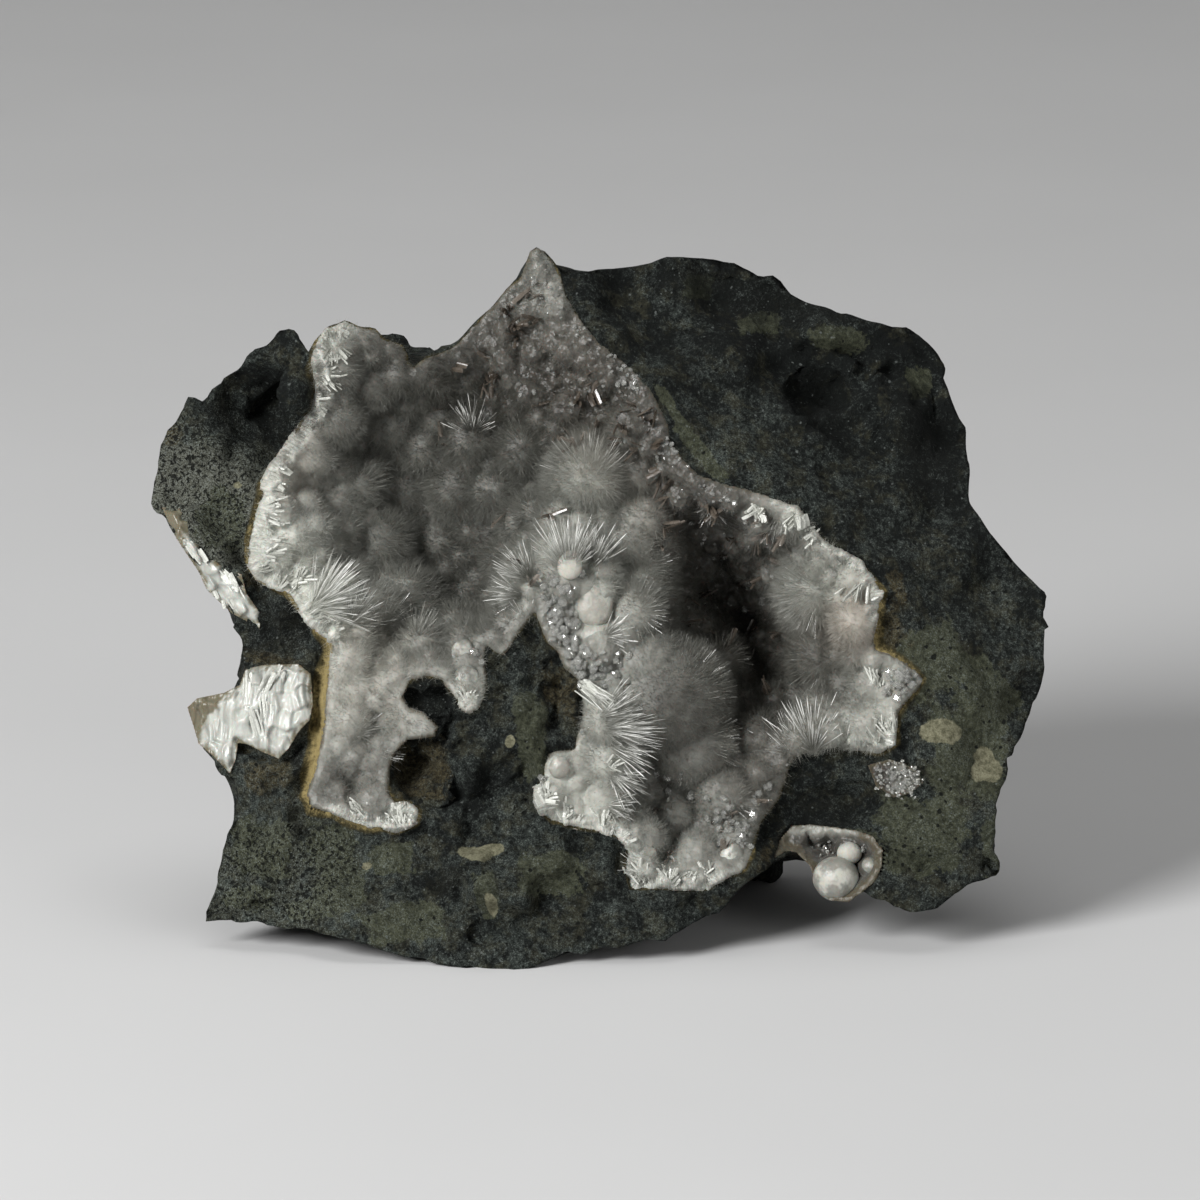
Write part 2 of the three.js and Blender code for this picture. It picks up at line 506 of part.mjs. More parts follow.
const specimen = new THREE.Group();
specimen.add(
  named("basalt_matrix", matrixSolid(), materials.basalt),
  named("vug_crust", vugCrustSolid(), materials.crust),
  named("edge_vein", crustSolid(veinOutline, smallStep, veinDepth, veinThickness, []), materials.fibres),
  named("fibre_block", crustSolid(fibreOutline, smallStep, fibreDepth, veinThickness, []), materials.fibres),
  named("corner_pocket_crust", pocketSolid(), materials.crust),
  named("ledge_druse", crustSolid(druseOutline, smallStep, druseDepth, crustThickness / 2, []), materials.druse),
);

export default specimen;
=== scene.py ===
import bpy
import numpy as np
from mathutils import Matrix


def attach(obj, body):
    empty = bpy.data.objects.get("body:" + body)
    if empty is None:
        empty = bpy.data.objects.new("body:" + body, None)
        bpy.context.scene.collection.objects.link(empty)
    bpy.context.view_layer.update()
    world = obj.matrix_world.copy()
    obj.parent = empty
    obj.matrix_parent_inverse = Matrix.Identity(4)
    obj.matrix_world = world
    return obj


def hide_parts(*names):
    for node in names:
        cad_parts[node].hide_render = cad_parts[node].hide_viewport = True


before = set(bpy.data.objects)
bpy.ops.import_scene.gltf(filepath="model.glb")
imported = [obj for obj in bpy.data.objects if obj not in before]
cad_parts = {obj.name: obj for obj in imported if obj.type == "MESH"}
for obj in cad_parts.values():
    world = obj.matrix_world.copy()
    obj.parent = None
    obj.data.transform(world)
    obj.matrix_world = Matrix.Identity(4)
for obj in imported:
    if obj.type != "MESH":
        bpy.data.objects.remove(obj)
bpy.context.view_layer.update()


# The block: dark green-grey basalt, one stone broken open across a large hollow and broken off all round.
# Its face leans back 15 degrees. Places on the face are across, up and depth behind the face, in millimetres.
face_lean = np.radians(15)
front_to_origin = 27.0
back_distance = 55.0
block_heart = np.array([-2.0, 42.0])
crust_thickness = 3.0

# where the hollow breaks through the top edge, the outlines of both run through the same points
open_top = [
    (-35.5, 78.6), (-34.3, 80), (-31.9, 81), (-30.3, 80.3), (-28, 79.9), (-27.1, 78.8), (-24.8, 78),
    (-24.2, 77), (-24.1, 75.8), (-23.4, 75.2), (-21.8, 76.6), (-19.8, 77.2), (-18.2, 78.2), (-15.4, 81.2),
    (-13.4, 83), (-11.8, 85), (-10, 86.4), (-9.4, 87.8), (-8.8, 89.6), (-8, 90.2), (-6.8, 89.6), (-5.6, 88.2),
]
# clockwise, from the tip of the left lobe over the top
block_outline = np.array([
    (-56.1, 58), (-55.9, 60.5), (-55.3, 63.4), (-54.5, 65.4), (-54.1, 67), (-52.3, 69.8), (-51.5, 71.2),
    (-49.8, 70.6), (-48.7, 72.6), (-45.5, 75), (-44.1, 76.8), (-41.5, 79), (-40.3, 80), (-38.9, 80.1),
    (-38.1, 79), (-37.8, 77), (-37.1, 76), (-36.4, 76.8), *open_top, (-4.6, 86.8), (-2, 87.4),
    (4.6, 88), (6.6, 88.5), (8.4, 89.1), (14.6, 89.2), (17, 88.8), (20.2, 87.1), (21.8, 87.3),
    (22.8, 86.6), (24.2, 84.8), (26.2, 83.6), (33.1, 81.6), (36.7, 80.6), (38.9, 80.6), (40.3, 79.6),
    (43.1, 76.8), (43.6, 75.6), (43.3, 74), (44.1, 71.8), (45.9, 67.8), (46.2, 65), (46.6, 62.2),
    (46.3, 58), (49.7, 53.5), (51.9, 50.9), (54.3, 48.4), (55.8, 46.7), (55.9, 45.1), (55.5, 44.1),
    (56.1, 42.6), (55.5, 42.3), (55.5, 37.4), (54.9, 34.9), (54, 32.3), (52.9, 29.7), (51.7, 27.6),
    (51.6, 26.6), (50.7, 26.3), (50.7, 25), (49.9, 22.4), (49.4, 20.4), (49.4, 18.7), (49.1, 16.7),
    (48.7, 14.9), (49.6, 13.5), (49.9, 12.4), (49.4, 11.5), (48, 10.9), (46.5, 10.9), (45.4, 10.5),
    (43.5, 8.7), (42.2, 8), (39.3, 7.8), (36.7, 7.7), (35.3, 8.7), (33.8, 8.8), (32.4, 10), (31, 10.4),
    (28.4, 12.2), (26, 13.9), (24.9, 14.4), (23.8, 14.7), (22.9, 14), (21.4, 13.3), (19.7, 11.8),
    (18, 10.8), (16.9, 9.6), (16, 8.4), (14.7, 7.2), (12.3, 6.1), (10, 4.9), (8.3, 3.8), (4.2, 3.8),
    (2.2, 3.2), (0, 3), (-1.8, 2), (-4.2, 2), (-6.9, 1.2), (-9.9, 0.3), (-12.9, -0.4), (-16, 0),
    (-18.8, 0.4), (-21.5, 1.4), (-23.8, 1.4), (-26.2, 2.2), (-28.6, 2.8), (-30.6, 3.7), (-34.3, 4.7),
    (-37.3, 5.2), (-40, 5.4), (-43, 5.9), (-49.3, 5.75), (-49.3, 7.1), (-48.4, 9.8), (-47.4, 13.8),
    (-46.4, 17.2), (-45.7, 19.9), (-45.7, 22.4), (-46.4, 23.6), (-47.4, 24.8), (-48.7, 26.1),
    (-49.8, 27.6), (-50.4, 30.3), (-50.6, 32.4), (-49.9, 33.2), (-47.5, 33.9), (-45.5, 34.3),
    (-44.1, 35.9), (-44.3, 37.7), (-44.9, 39.3), (-45.5, 41.3), (-46.4, 42.3), (-45.9, 43.7),
    (-46.1, 44.9), (-47.9, 46.5), (-49.1, 48.5), (-49.5, 49.9), (-50.9, 50.9), (-52.1, 52.5),
    (-53.5, 54.7), (-54.5, 56.5), (-55.5, 56.9),
])[::-1]

# clockwise, from the top left of the hollow along the top edge of the block
vug_outline = np.array([
    *open_top, (-4.8, 86.5), (-4, 84), (-1.8, 80.3), (0.2, 78), (4.2, 75), (6.6, 72.2), (8.2, 68.6),
    (9.2, 65.5), (10.5, 63.4), (12.3, 61.7), (16, 60.4), (20.5, 59.2), (24.6, 57.8), (26.2, 55.8),
    (27.7, 53.8), (30.3, 52.2), (32.7, 50.9), (34.3, 48.5), (35.3, 47), (34.6, 43.8), (34, 41.3),
    (34.4, 39.9), (37, 38.9), (39.3, 37.4), (40.5, 36.1), (39.5, 34.7), (38.1, 33.4), (37, 32),
    (36.9, 29.9), (36.7, 27.9), (34.7, 26.8), (32.1, 27.2), (28.1, 27.4), (26.3, 27.1), (24.3, 26.1),
    (23.6, 25), (23.2, 23.3), (22.4, 21.2), (20.1, 18.1), (19.3, 16), (19, 14), (18, 12.3), (15.7, 11.3),
    (13.7, 9.8), (9.3, 9.9), (4.9, 9.8), (3.5, 10), (2.7, 13), (3.2, 15.3), (2.2, 16.3), (0.2, 17),
    (-1.8, 17.3), (-4.2, 17.8), (-6.2, 18.2), (-7.5, 19.2), (-8.4, 21), (-8.4, 23.1), (-7.4, 23.9),
    (-6.9, 25.8), (-6.5, 27.1), (-5.2, 27.4), (-3.3, 27.6), (-2.8, 29.5), (-2.2, 31.8), (-2.5, 34.2),
    (-2.8, 35.9), (-4.5, 37.5), (-5.5, 39.6), (-6.9, 40.9), (-8.2, 44.3), (-9.9, 41.9), (-11.9, 38.9),
    (-13.3, 39.4), (-14.1, 40.2), (-14.3, 38.2), (-13.9, 36.2), (-14.1, 34.2), (-15, 32.5), (-16.2, 31.8),
    (-17.4, 32.3), (-18.5, 34.4), (-19.8, 36), (-21.5, 36.4), (-23.5, 35.9), (-24.5, 34), (-23.8, 32.7),
    (-21.8, 32), (-20.1, 30.3), (-20.5, 29), (-23.8, 28.6), (-25.5, 27), (-26.2, 24.9), (-26.2, 22.2),
    (-25.5, 21.1), (-23.8, 21.1), (-22.2, 19.9), (-22.5, 18.2), (-25.2, 16.9), (-27.2, 17.5),
    (-29.6, 17.7), (-31.2, 18.2), (-32.6, 18.9), (-33.9, 19.6), (-36, 20.2), (-36.6, 22), (-35.6, 24.9),
    (-34.9, 28), (-34.4, 31), (-34.3, 34), (-34, 37.4), (-33.6, 40.1), (-34.3, 41.2), (-36.7, 42.9),
    (-37.9, 44.9), (-39.5, 46.9), (-41.5, 47.5), (-43.1, 48.5), (-44.1, 50.1), (-44.4, 51.7),
    (-44.1, 54.1), (-43.3, 56.5), (-42.7, 59), (-42.5, 61), (-41.5, 63), (-40.3, 64.6), (-39.1, 66.6),
    (-37.5, 68.6), (-36.3, 70.2), (-35.7, 72.2), (-35.9, 73.8), (-36.3, 75.4), (-35.7, 77.8),
])[::-1]

# depth of the bare face behind its front plane at marked places: across, up, depth
face_marks = np.array([
    (-48, 7, 5), (-44, 8, 3), (-46, 16, 5), (-45, 22, 7), (-38, 18, 3), (-30, 12, 0.5), (-28, 4, -1),
    (-13, 1, -2.5), (-12, 12, -1.5), (5, 5, -1), (15, 9, 1), (0, 14, -0.5), (-18, 20, 0), (-10, 22, 0),
    (-16, 30, 1), (-8, 32, 1.5), (-12, 37, 3), (-8, 43, 2.5), (-4, 36, 3), (-40, 24, 5), (-36, 30, 5),
    (-42, 32, 6.5), (-50, 30, 9), (-41, 41, 9), (-45, 42, 10), (-37, 44, 6), (-36, 38, 6.5),
    (-48, 47, 10), (-44, 50, 7), (-48, 56, 8), (-53, 60, 11), (-45, 60, 7.5), (-50, 66, 9), (-52, 70, 11),
    (-46, 71, 14), (-41, 70, 15), (-43, 66, 12), (-40, 78, 10), (-38, 72, 10), (-35, 78, 8), (-30, 79, 9),
    (-24, 76, 11), (-18, 78, 12), (-12, 84, 12), (-8, 88, 9), (-3, 83, 8), (1, 78, 6), (6, 72, 4),
    (10, 66, 3), (15, 61, 2.5), (22, 59, 2), (29, 54, 2), (35, 48, 1.5), (38, 42, 1.5), (42, 36, 1.5),
    (38, 30, 0.5), (42, 28, 0), (30, 23, 7), (26, 20, 8), (36, 21, 5), (32, 26, 6), (38, 19, 2.5),
    (38, 12, 2), (44, 14, 2), (48, 13, 4), (47, 22, 2), (49, 28, 4), (46, 34, 2), (50, 38, 5),
    (54, 42, 8), (54, 34, 8), (44, 50, 6), (50, 50, 10), (36, 58, 6), (44, 60, 11), (26, 66, 7),
    (36, 68, 11), (16, 74, 8), (26, 78, 14), (30, 72, 15), (36, 76, 17), (42, 76, 20), (8, 82, 12),
    (16, 86, 18), (4, 86, 15), (24, 84, 19), (45, 68, 17),
])
# depth of the hollow's lining at marked places
hollow_marks = np.array([
    (-38, 55, 7), (-34, 60, 15), (-29, 66, 19), (-24, 60, 22), (-22, 52, 22), (-17, 48, 20),
    (-28, 50, 17), (-32, 46, 9), (-28, 42, 11), (-24, 44, 15), (-20, 40, 14), (-30, 40, 7), (-30, 36, 5),
    (-32, 32, 4.5), (-28, 30, 7), (-31, 25, 7), (-28, 20, 4), (-24, 19, 3), (-35, 67, 12), (-33, 73, 10),
    (-28, 76, 12), (-24, 70, 17), (-33, 78, 6), (-18, 72, 15), (-12, 80, 12), (-8, 86, 8), (-3, 80, 8),
    (-8, 75, 11), (-14, 67, 14), (-10, 62, 15), (-14, 56, 18), (-4, 70, 10), (2, 72, 7.5), (6, 67, 6),
    (-1, 62, 6), (-4, 56, 4), (-4, 51, 1), (2, 55, 5), (0, 47, 0.5), (-1, 40, 1), (1, 35, 0.5),
    (2, 30, 0.5), (0, 22, 1), (-5, 22, 0), (-5, 26, 1.5), (4, 44, 3), (6, 50, 8), (5, 38, 5), (6, 24, 5),
    (9, 32, 5.5), (14, 36, 12), (10, 24, 9), (9, 18, 9), (12, 21, 8), (16, 22, 6), (16, 17, 5),
    (12, 13, 4.5), (6, 13, 2.5), (18, 26, 8), (10, 60, 9), (14, 56, 13), (12, 50, 17), (16, 48, 24),
    (20, 44, 28), (18, 38, 26), (22, 36, 22), (24, 42, 22), (22, 52, 14), (21, 56, 7), (24, 55, 5),
    (27, 50, 8), (26, 46, 6), (30, 48, 3), (32, 43, 3.5), (28, 38, 14), (31, 38, 8), (33, 35, 4.5),
    (36, 37, 4), (34, 29, 2.5), (30, 30, 3.5), (26, 29, 4), (22, 29, 6), (20, 31, 12), (21, 24, 4),
])
# pits and bare recesses: across, up, width, height, depth
rock_pits = [
    (-23.2, 24.8, 7, 8, 6), (-22, 34, 4.5, 5, 3), (27.5, 71.5, 9, 6.5, 3.2), (35.5, 74.5, 7, 4.6, 1.4),
    (-43.5, 70.5, 12, 14, 2.4), (-5.5, 33, 4.5, 9, 2), (-42.5, 8.3, 2.8, 1.8, 1.5),
    (-14.5, 4.8, 3.4, 2.2, 1.4), (-9.5, 6, 1.8, 1.4, 0.8), (48.5, 13, 2.4, 2.4, 1.4),
    (42, 70, 1.6, 6, 1.8), (-20, 10.5, 3, 2, 0.8), (35.8, 43.5, 1.6, 1.4, 1), (47.2, 26.3, 1.2, 1.2, 0.6),
    (-44.3, 27.5, 3, 1.6, 1.6), (30, 21, 12, 5, 2.5),
]
# how hackly the rock is by place: across, up, strength
rough_marks = np.array([
    (-50, 62, 1.1), (-43, 70, 1.5), (-40, 42, 1.2), (-42, 24, 1.3), (-40, 12, 0.8), (-25, 8, 0.6),
    (-8, 8, 0.8), (8, 6, 0.7), (-16, 28, 1.0), (12, 72, 0.12), (22, 66, 0.1), (34, 56, 0.12),
    (46, 50, 0.2), (16, 80, 0.2), (24, 84, 0.9), (33, 77, 1.3), (42, 73, 1.2), (28, 70, 0.8),
    (45, 40, 0.2), (50, 32, 0.3), (42, 20, 0.45), (30, 22, 0.4), (48, 12, 1.0), (0, 88, 0.3),
    (-10, 86, 0.3), (-15, 80, 0.3), (-28, 79, 0.4), (42, 58, 0.15),
])
# how pale the rock is by place, partly its own tone and partly painted light and shade: paler on the left
# lobe that faces the light, darkest on the top right that faces away from it: across, up, strength
pale_tone_and_light_marks = np.array([
    (-50, 62, 1.7), (-52, 56, 1.7), (-46, 60, 1.5), (-43, 71, 0.1), (-40, 78, 0.2), (-50, 69, 0.7),
    (-42, 42, 0.3), (-37, 40, 0.45), (-42, 24, 0.55), (-44, 12, 0.85), (-36, 12, 0.85), (-28, 6, 0.6),
    (-20, 10, 0.4), (-12, 12, 0.5), (-8, 5, 0.42), (2, 8, 0.36), (-18, 24, 0.2), (-12, 34, 0.35),
    (-8, 40, 0.3), (-21, 33, 0.12), (12, 76, 0.2), (18, 66, 0.45), (26, 60, 0.34), (34, 54, 0.3),
    (44, 50, 0.34), (50, 44, 0.3), (20, 83, 0.02), (34, 78, 0.0), (40, 70, 0.05), (28, 71, 0.0),
    (42, 36, 0.45), (50, 32, 0.4), (42, 18, 0.46), (34, 23, 0.34), (27, 20, 0.1), (46, 62, 0.1),
    (14, 6, 0.3),
])
# outlines of the small linings on the block: the pocket at its foot, the vein and the block of fibres
# at its left edge and the patch on the ledge under the hollow
pocket_outline = np.array([
    (21.6, 13.6), (22.5, 16.2), (24, 17.8), (26.5, 18), (29, 17.7), (32, 17.3), (34, 16.6), (35.2, 15),
    (35, 12.8), (34.3, 11), (32.6, 9.6), (31, 8.4), (28.6, 8.6), (27, 10.4), (26.2, 12.8), (24.6, 14.4),
    (23.4, 14.7),
])
vein_outline = np.array([
    (-54.9, 57.6), (-53.2, 54), (-50.3, 49.6), (-49.2, 47.2), (-46.2, 44.4), (-42.6, 42.4), (-42.4, 44.2),
    (-44.2, 46.8), (-44.8, 49.2), (-47.5, 50.4), (-49.5, 52.2), (-51.2, 55), (-52.8, 57.6),
])
fibre_outline = np.array([
    (-51.6, 32.6), (-50.4, 33.7), (-47, 34.4), (-45, 35.4), (-44.3, 37.4), (-42, 37.9), (-37.6, 38),
    (-36.1, 36.8), (-35.8, 33), (-36.2, 31), (-37.6, 29.5), (-38.8, 27.5), (-40, 26.2), (-42, 27),
    (-44, 28), (-45.2, 28.2), (-45.5, 26), (-46.2, 24.3), (-48.2, 26.4), (-50.2, 28), (-50.9, 30.3),
])
ledge_outline = np.array([
    (33.4, 25.4), (36, 26.2), (38, 25.6), (39.6, 24.6), (40.2, 23.2), (38.6, 21.9), (36.5, 21.4),
    (34.4, 22.8),
])
# planes that the back broke along: outward direction (across, up, depth) and distance from the middle
break_planes = [
    ((-0.68, 0.12, 0.72), 41), ((0.74, 0.1, 0.67), 45), ((0.16, 0.7, 0.7), 41), ((-0.5, 0.6, 0.62), 43),
    ((0.55, 0.55, 0.63), 49.5), ((-0.62, -0.4, 0.68), 40), ((0.66, -0.45, 0.6), 44),
    ((-0.12, 0.3, 0.95), 27.5), ((0.35, -0.1, 0.93), 32), ((-0.3, -0.25, 0.92), 33),
    ((-0.88, 0.05, 0.45), 51),
]


def standing(across, up, depth):
    """A place on the leaning face, in millimetres, as a point of the part's own frame, in metres."""
    y = up * np.sin(face_lean) + depth * np.cos(face_lean) - front_to_origin
    z = up * np.cos(face_lean) - depth * np.sin(face_lean)
    return np.stack([across + 0 * y, y, z], -1) / 1000


def rim_distance(outline, places):
    """Distance to an outline's nearest edge, positive inside, that nearest point, and how far along it is."""
    start, stop = outline, np.roll(outline, -1, 0)
    edge = stop - start
    long = np.hypot(*edge.T)
    flat = places.reshape(-1, 2)
    distance, nearest, passed = np.empty(len(flat)), np.empty_like(flat), np.empty(len(flat))
    for first in range(0, len(flat), 20000):
        here = flat[first:first + 20000, None]
        along = np.clip(((here - start) * edge).sum(-1) / (edge**2).sum(-1), 0, 1)
        foot = start + along[..., None] * edge
        gap = np.hypot(*np.moveaxis(here - foot, -1, 0))
        best = gap.argmin(1)
        rows = np.arange(len(best))
        level = (start[:, 1] > here[..., 1]) != (stop[:, 1] > here[..., 1])
        rise = np.where(edge[:, 1] == 0, 1, edge[:, 1])
        beyond = here[..., 0] < start[:, 0] + (here[..., 1] - start[:, 1]) / rise * edge[:, 0]
        inside = (level & beyond).sum(1) % 2 == 1
        distance[first:first + 20000] = np.where(inside, 1, -1) * gap[rows, best]
        nearest[first:first + 20000] = foot[rows, best]
        passed[first:first + 20000] = (long.cumsum() - long)[best] + along[rows, best] * long[best]
    flat_shape = places.shape[:-1]
    return distance.reshape(flat_shape), nearest.reshape(places.shape), passed.reshape(flat_shape)


def marked(marks, places):
    """Mean of the marks' last column round each place, weighted by the inverse fourth power of distance."""
    flat = places.reshape(-1, 2)
    mean = np.empty(len(flat))
    for first in range(0, len(flat), 40000):
        here = flat[first:first + 40000, None]
        weight = 1 / (((here - marks[:, :2]) ** 2).sum(-1) + 9) ** 2
        mean[first:first + 40000] = (weight * marks[:, 2]).sum(1) / weight.sum(1)
    return mean.reshape(places.shape[:-1])


def step_between(low, high, value):
    """0 below the low value, 1 above the high one, and a smooth S between them."""
    share = np.clip((value - low) / (high - low), 0, 1)
    return share * share * (3 - 2 * share)


def dice(cells, seed):
    """A repeatable number from 0 to 1 for each whole-number cell, by mixing its three numbers' bits."""
    with np.errstate(over="ignore"):
        mixed = (cells.astype(np.int64) * np.array([73856093, 19349663, 83492791])).sum(-1).astype(np.uint64)
        mixed = (mixed + np.uint64(seed * 2654435761)) * np.uint64(0x9E3779B97F4A7C15)
        mixed = (mixed ^ (mixed >> np.uint64(29))) * np.uint64(0xBF58476D1CE4E5B9)
        return ((mixed >> np.uint64(33)) % np.uint64(1 << 24)).astype(float) / (1 << 24)


def lumpy(points, size, seed=0, layers=1):
    """Smooth random field from -1 to 1: random corners of cubes, blended, with half-size layers added."""
    total, strength, full = 0, 1, 0
    for layer in range(layers):
        spot = points / size
        cell = np.floor(spot).astype(np.int64)
        part = spot - cell
        part = part**3 * (part * (part * 6 - 15) + 10)
        field = 0
        for corner in np.ndindex(2, 2, 2):
            weight = np.where(np.array(corner) == 1, part, 1 - part).prod(-1)
            field = field + weight * dice(cell + np.array(corner), seed + layer)
        total, full = total + strength * (2 * field - 1), full + strength
        size, strength = size / 2, strength / 2
    return total / full


def facets(points, size, seed=0):
    """Height of broken facets: each cube has a seed with a slope of its own, and is flat near it."""
    spot = points / size
    cell = np.floor(spot).astype(np.int64)
    full, height = 1e-9, 0
    for offset in np.ndindex(3, 3, 3):
        other = cell + np.array(offset) - 1
        numbers = np.stack([dice(other, seed + k) for k in range(1, 7)], -1)
        away = spot - other - numbers[..., :3]
        weight = np.exp(-16 * (away**2).sum(-1))
        plane = (away * (2 * numbers[..., 3:] - 1)).sum(-1) + 0.4 * (numbers[..., 0] - 0.5)
        height = height + weight * plane
        full = full + weight
    return size * height / full


def unit(ways):
    """Directions brought to a length of one."""
    return ways / np.linalg.norm(ways, axis=-1, keepdims=True)


def evened(line, spread):
    """A closed line run through a Gaussian of that spread in points, by its Fourier transform."""
    waves = np.fft.fftfreq(len(line))
    keep = np.exp(-2 * (np.pi * waves * spread) ** 2)
    return np.real(np.fft.ifft(np.fft.fft(line, axis=0) * keep[:, None], axis=0))


def spaced(outline, count):
    """That many points at equal steps along a closed outline."""
    closed = np.vstack([outline, outline[:1]])
    length = np.r_[0, np.hypot(*np.diff(closed, axis=0).T).cumsum()]
    at = np.linspace(0, length[-1], count, endpoint=False)
    return np.stack([np.interp(at, length, closed[:, k]) for k in (0, 1)], -1)


def vug_depth(places, inside):
    """Depth of the lining: level with the rock at the rim, then down to the marked depths."""
    rim = marked(face_marks, places) - 0.7
    return rim + (marked(hollow_marks, places) - rim) * step_between(1.2, 6.2, inside)


def rock_depth(places, inside):
    """Depth of the bare face with its pits; under the linings it drops to their beds."""
    depth = marked(face_marks, places)
    for x, y, width, height, deep in rock_pits:
        reach = (2 * (places[..., 0] - x) / width) ** 2 + (2 * (places[..., 1] - y) / height) ** 2
        depth = depth + deep * np.clip(1 - reach, 0, 1)
    depth = depth + 5.8 * step_between(0, 0.9, rim_distance(pocket_outline, places)[0])
    bed = vug_depth(places, inside) + crust_thickness + 0.6
    return depth + (bed - depth) * step_between(0.3, 1.1, inside)


def mesh_piece(name, points, faces, marks=(), smooth=True):
    """One object from points in metres and tables of faces; each mark is a number kept for every point."""
    mesh = bpy.data.meshes.new(name)
    corners = np.concatenate([table.ravel() for table in faces]).astype(np.int32)
    sizes = np.concatenate([np.full(len(table), table.shape[1]) for table in faces])
    mesh.vertices.add(len(points))
    mesh.vertices.foreach_set("co", np.ascontiguousarray(points, np.float32).ravel())
    mesh.loops.add(len(corners))
    mesh.loops.foreach_set("vertex_index", corners)
    mesh.polygons.add(len(sizes))
    mesh.polygons.foreach_set("loop_start", np.r_[0, sizes.cumsum()[:-1]].astype(np.int32))
    mesh.update(calc_edges=True)
    mesh.polygons.foreach_set("use_smooth", np.full(len(sizes), smooth))
    for mark, values in dict(marks).items():
        layer = mesh.attributes.new(mark, "FLOAT", "POINT")
        layer.data.foreach_set("value", np.ascontiguousarray(values, np.float32).ravel())
    piece = bpy.data.objects.new(name, mesh)
    bpy.context.scene.collection.objects.link(piece)
    return piece


def net(rows, columns, ring=True):
    """Faces between the rows and columns of a grid of points; ring joins the last column to the first."""
    number = np.arange(rows * columns).reshape(rows, columns)
    after = np.roll(number, -1, 1)
    if not ring:
        number, after = number[:, :-1], after[:, :-1]
    return np.stack([number[:-1], after[:-1], after[1:], number[1:]], -1).reshape(-1, 4)


class Shade:
    """A socket of one material. Sums and products of it add Math nodes, and node adds any other node."""

    def __init__(self, tree, socket=None):
        self.tree, self.socket = tree, socket

    def node(self, kind, settings=(), inlets=(), outlet=0):
        made = self.tree.nodes.new(kind)
        for setting, value in dict(settings).items():
            setattr(made, setting, value)
        for inlet, value in dict(inlets).items():
            if isinstance(value, Shade):
                self.tree.links.new(value.socket, made.inputs[inlet])
            else:
                made.inputs[inlet].default_value = value
        return Shade(self.tree, made.outputs[outlet])

    def maths(self, operation, first, second):
        return self.node("ShaderNodeMath", {"operation": operation}, {0: first, 1: second})

    def __add__(self, other):
        return self.maths("ADD", self, other)

    def __sub__(self, other):
        return self.maths("SUBTRACT", self, other)

    def __mul__(self, other):
        return self.maths("MULTIPLY", self, other)

    def ramp(self, low, high):
        """0 where the value is low and 1 where it is high, with a smooth S between them."""
        settings = {"interpolation_type": "SMOOTHSTEP"}
        return self.node("ShaderNodeMapRange", settings, {0: self, 1: low, 2: high, 3: 0.0, 4: 1.0})

    def tint(self, first, second):
        """The first colour where the value is 0 and the second where it is 1."""
        colours = [part if isinstance(part, Shade) else (*part, 1) for part in (first, second)]
        return self.node("ShaderNodeMix", {"data_type": "RGBA"}, {0: self, 6: colours[0], 7: colours[1]}, 2)

    def mark(self, name):
        return self.node("ShaderNodeAttribute", {"attribute_name": name}, outlet=2)

    def noise(self, size_mm, detail=2.0, rough=0.5, stretch=(1, 1, 1)):
        """Cloudy noise whose lumps are about that many millimetres across, stretched along the axes."""
        where = self.node("ShaderNodeTexCoord", outlet=3)
        where = self.node("ShaderNodeMapping", {}, {"Vector": where, "Scale": stretch})
        inlets = {"Vector": where, "Scale": 1000 / size_mm, "Detail": detail, "Roughness": rough}
        return self.node("ShaderNodeTexNoise", {}, inlets)

    def seeds(self, size_mm, outlet=0):
        """Distance to the nearest random seed in a bent grid (outlet 0), or a grey of that seed's own (1)."""
        where = self.node("ShaderNodeTexCoord", outlet=3)
        cloud = self.node("ShaderNodeTexNoise", {}, {"Vector": where, "Scale": 1500 / size_mm}, 1)
        bend = (size_mm * 0.0005,) * 3
        inlets = {0: cloud, 1: bend, 2: where}
        where = self.node("ShaderNodeVectorMath", {"operation": "MULTIPLY_ADD"}, inlets)
        return self.node("ShaderNodeTexVoronoi", {}, {"Vector": where, "Scale": 1000 / size_mm}, outlet)

    def bump(self, height_mm, strength=1.0):
        inlets = {"Height": height_mm, "Distance": 0.001, "Strength": strength}
        return self.node("ShaderNodeBump", {}, inlets)


def material(name, fixed):
    """A new material with one Principled shader, whose fixed sockets are set to numbers or colours."""
    made = bpy.data.materials.new(name)
    made.use_nodes = True
    shader = made.node_tree.nodes["Principled BSDF"]
    for socket, value in fixed.items():
        shader.inputs[socket].default_value = value
    return made, Shade(made.node_tree), shader


def feed(shader, **sources):
    """Links shades to a shader's sockets: colour, roughness and normal."""
    sockets = {"colour": "Base Color", "roughness": "Roughness", "normal": "Normal"}
    for source, shade in sources.items():
        shade.tree.links.new(shade.socket, shader.inputs[sockets[source]])


# the block's surface: rings from the heart out to the ragged outline, then on over the sides to the back
around, face_rings, back_rings = 560, 98, 68
side_rings, calm_rings = 26, 9
edge_points = spaced(block_outline, around)
edge_line = unit(np.roll(edge_points, -1, 0) - np.roll(edge_points, 1, 0))
edge_places = np.column_stack([edge_points, np.zeros(around)])
ragged = 0.16 * lumpy(edge_places, 3, 61, 2) + 0.1 * lumpy(edge_places, 1.3, 63)
edge_points = edge_points + ragged[:, None] * np.column_stack([edge_line[:, 1], -edge_line[:, 0]])
ring_places, ring_depths = [], []
for share in np.linspace(0.012, 1, face_rings):
    ring = evened(edge_points, 14 * (1 - share) ** 0.7)
    ring_places.append(block_heart + share * (ring - block_heart))
face_places = np.stack(ring_places)
face_inside = rim_distance(vug_outline, face_places)[0]
face_depths = rock_depth(face_places, face_inside)
edge_depth = marked(face_marks, edge_points)
side_steps = [0, 0.2, 0.5, 0.75, 0.9, 1]
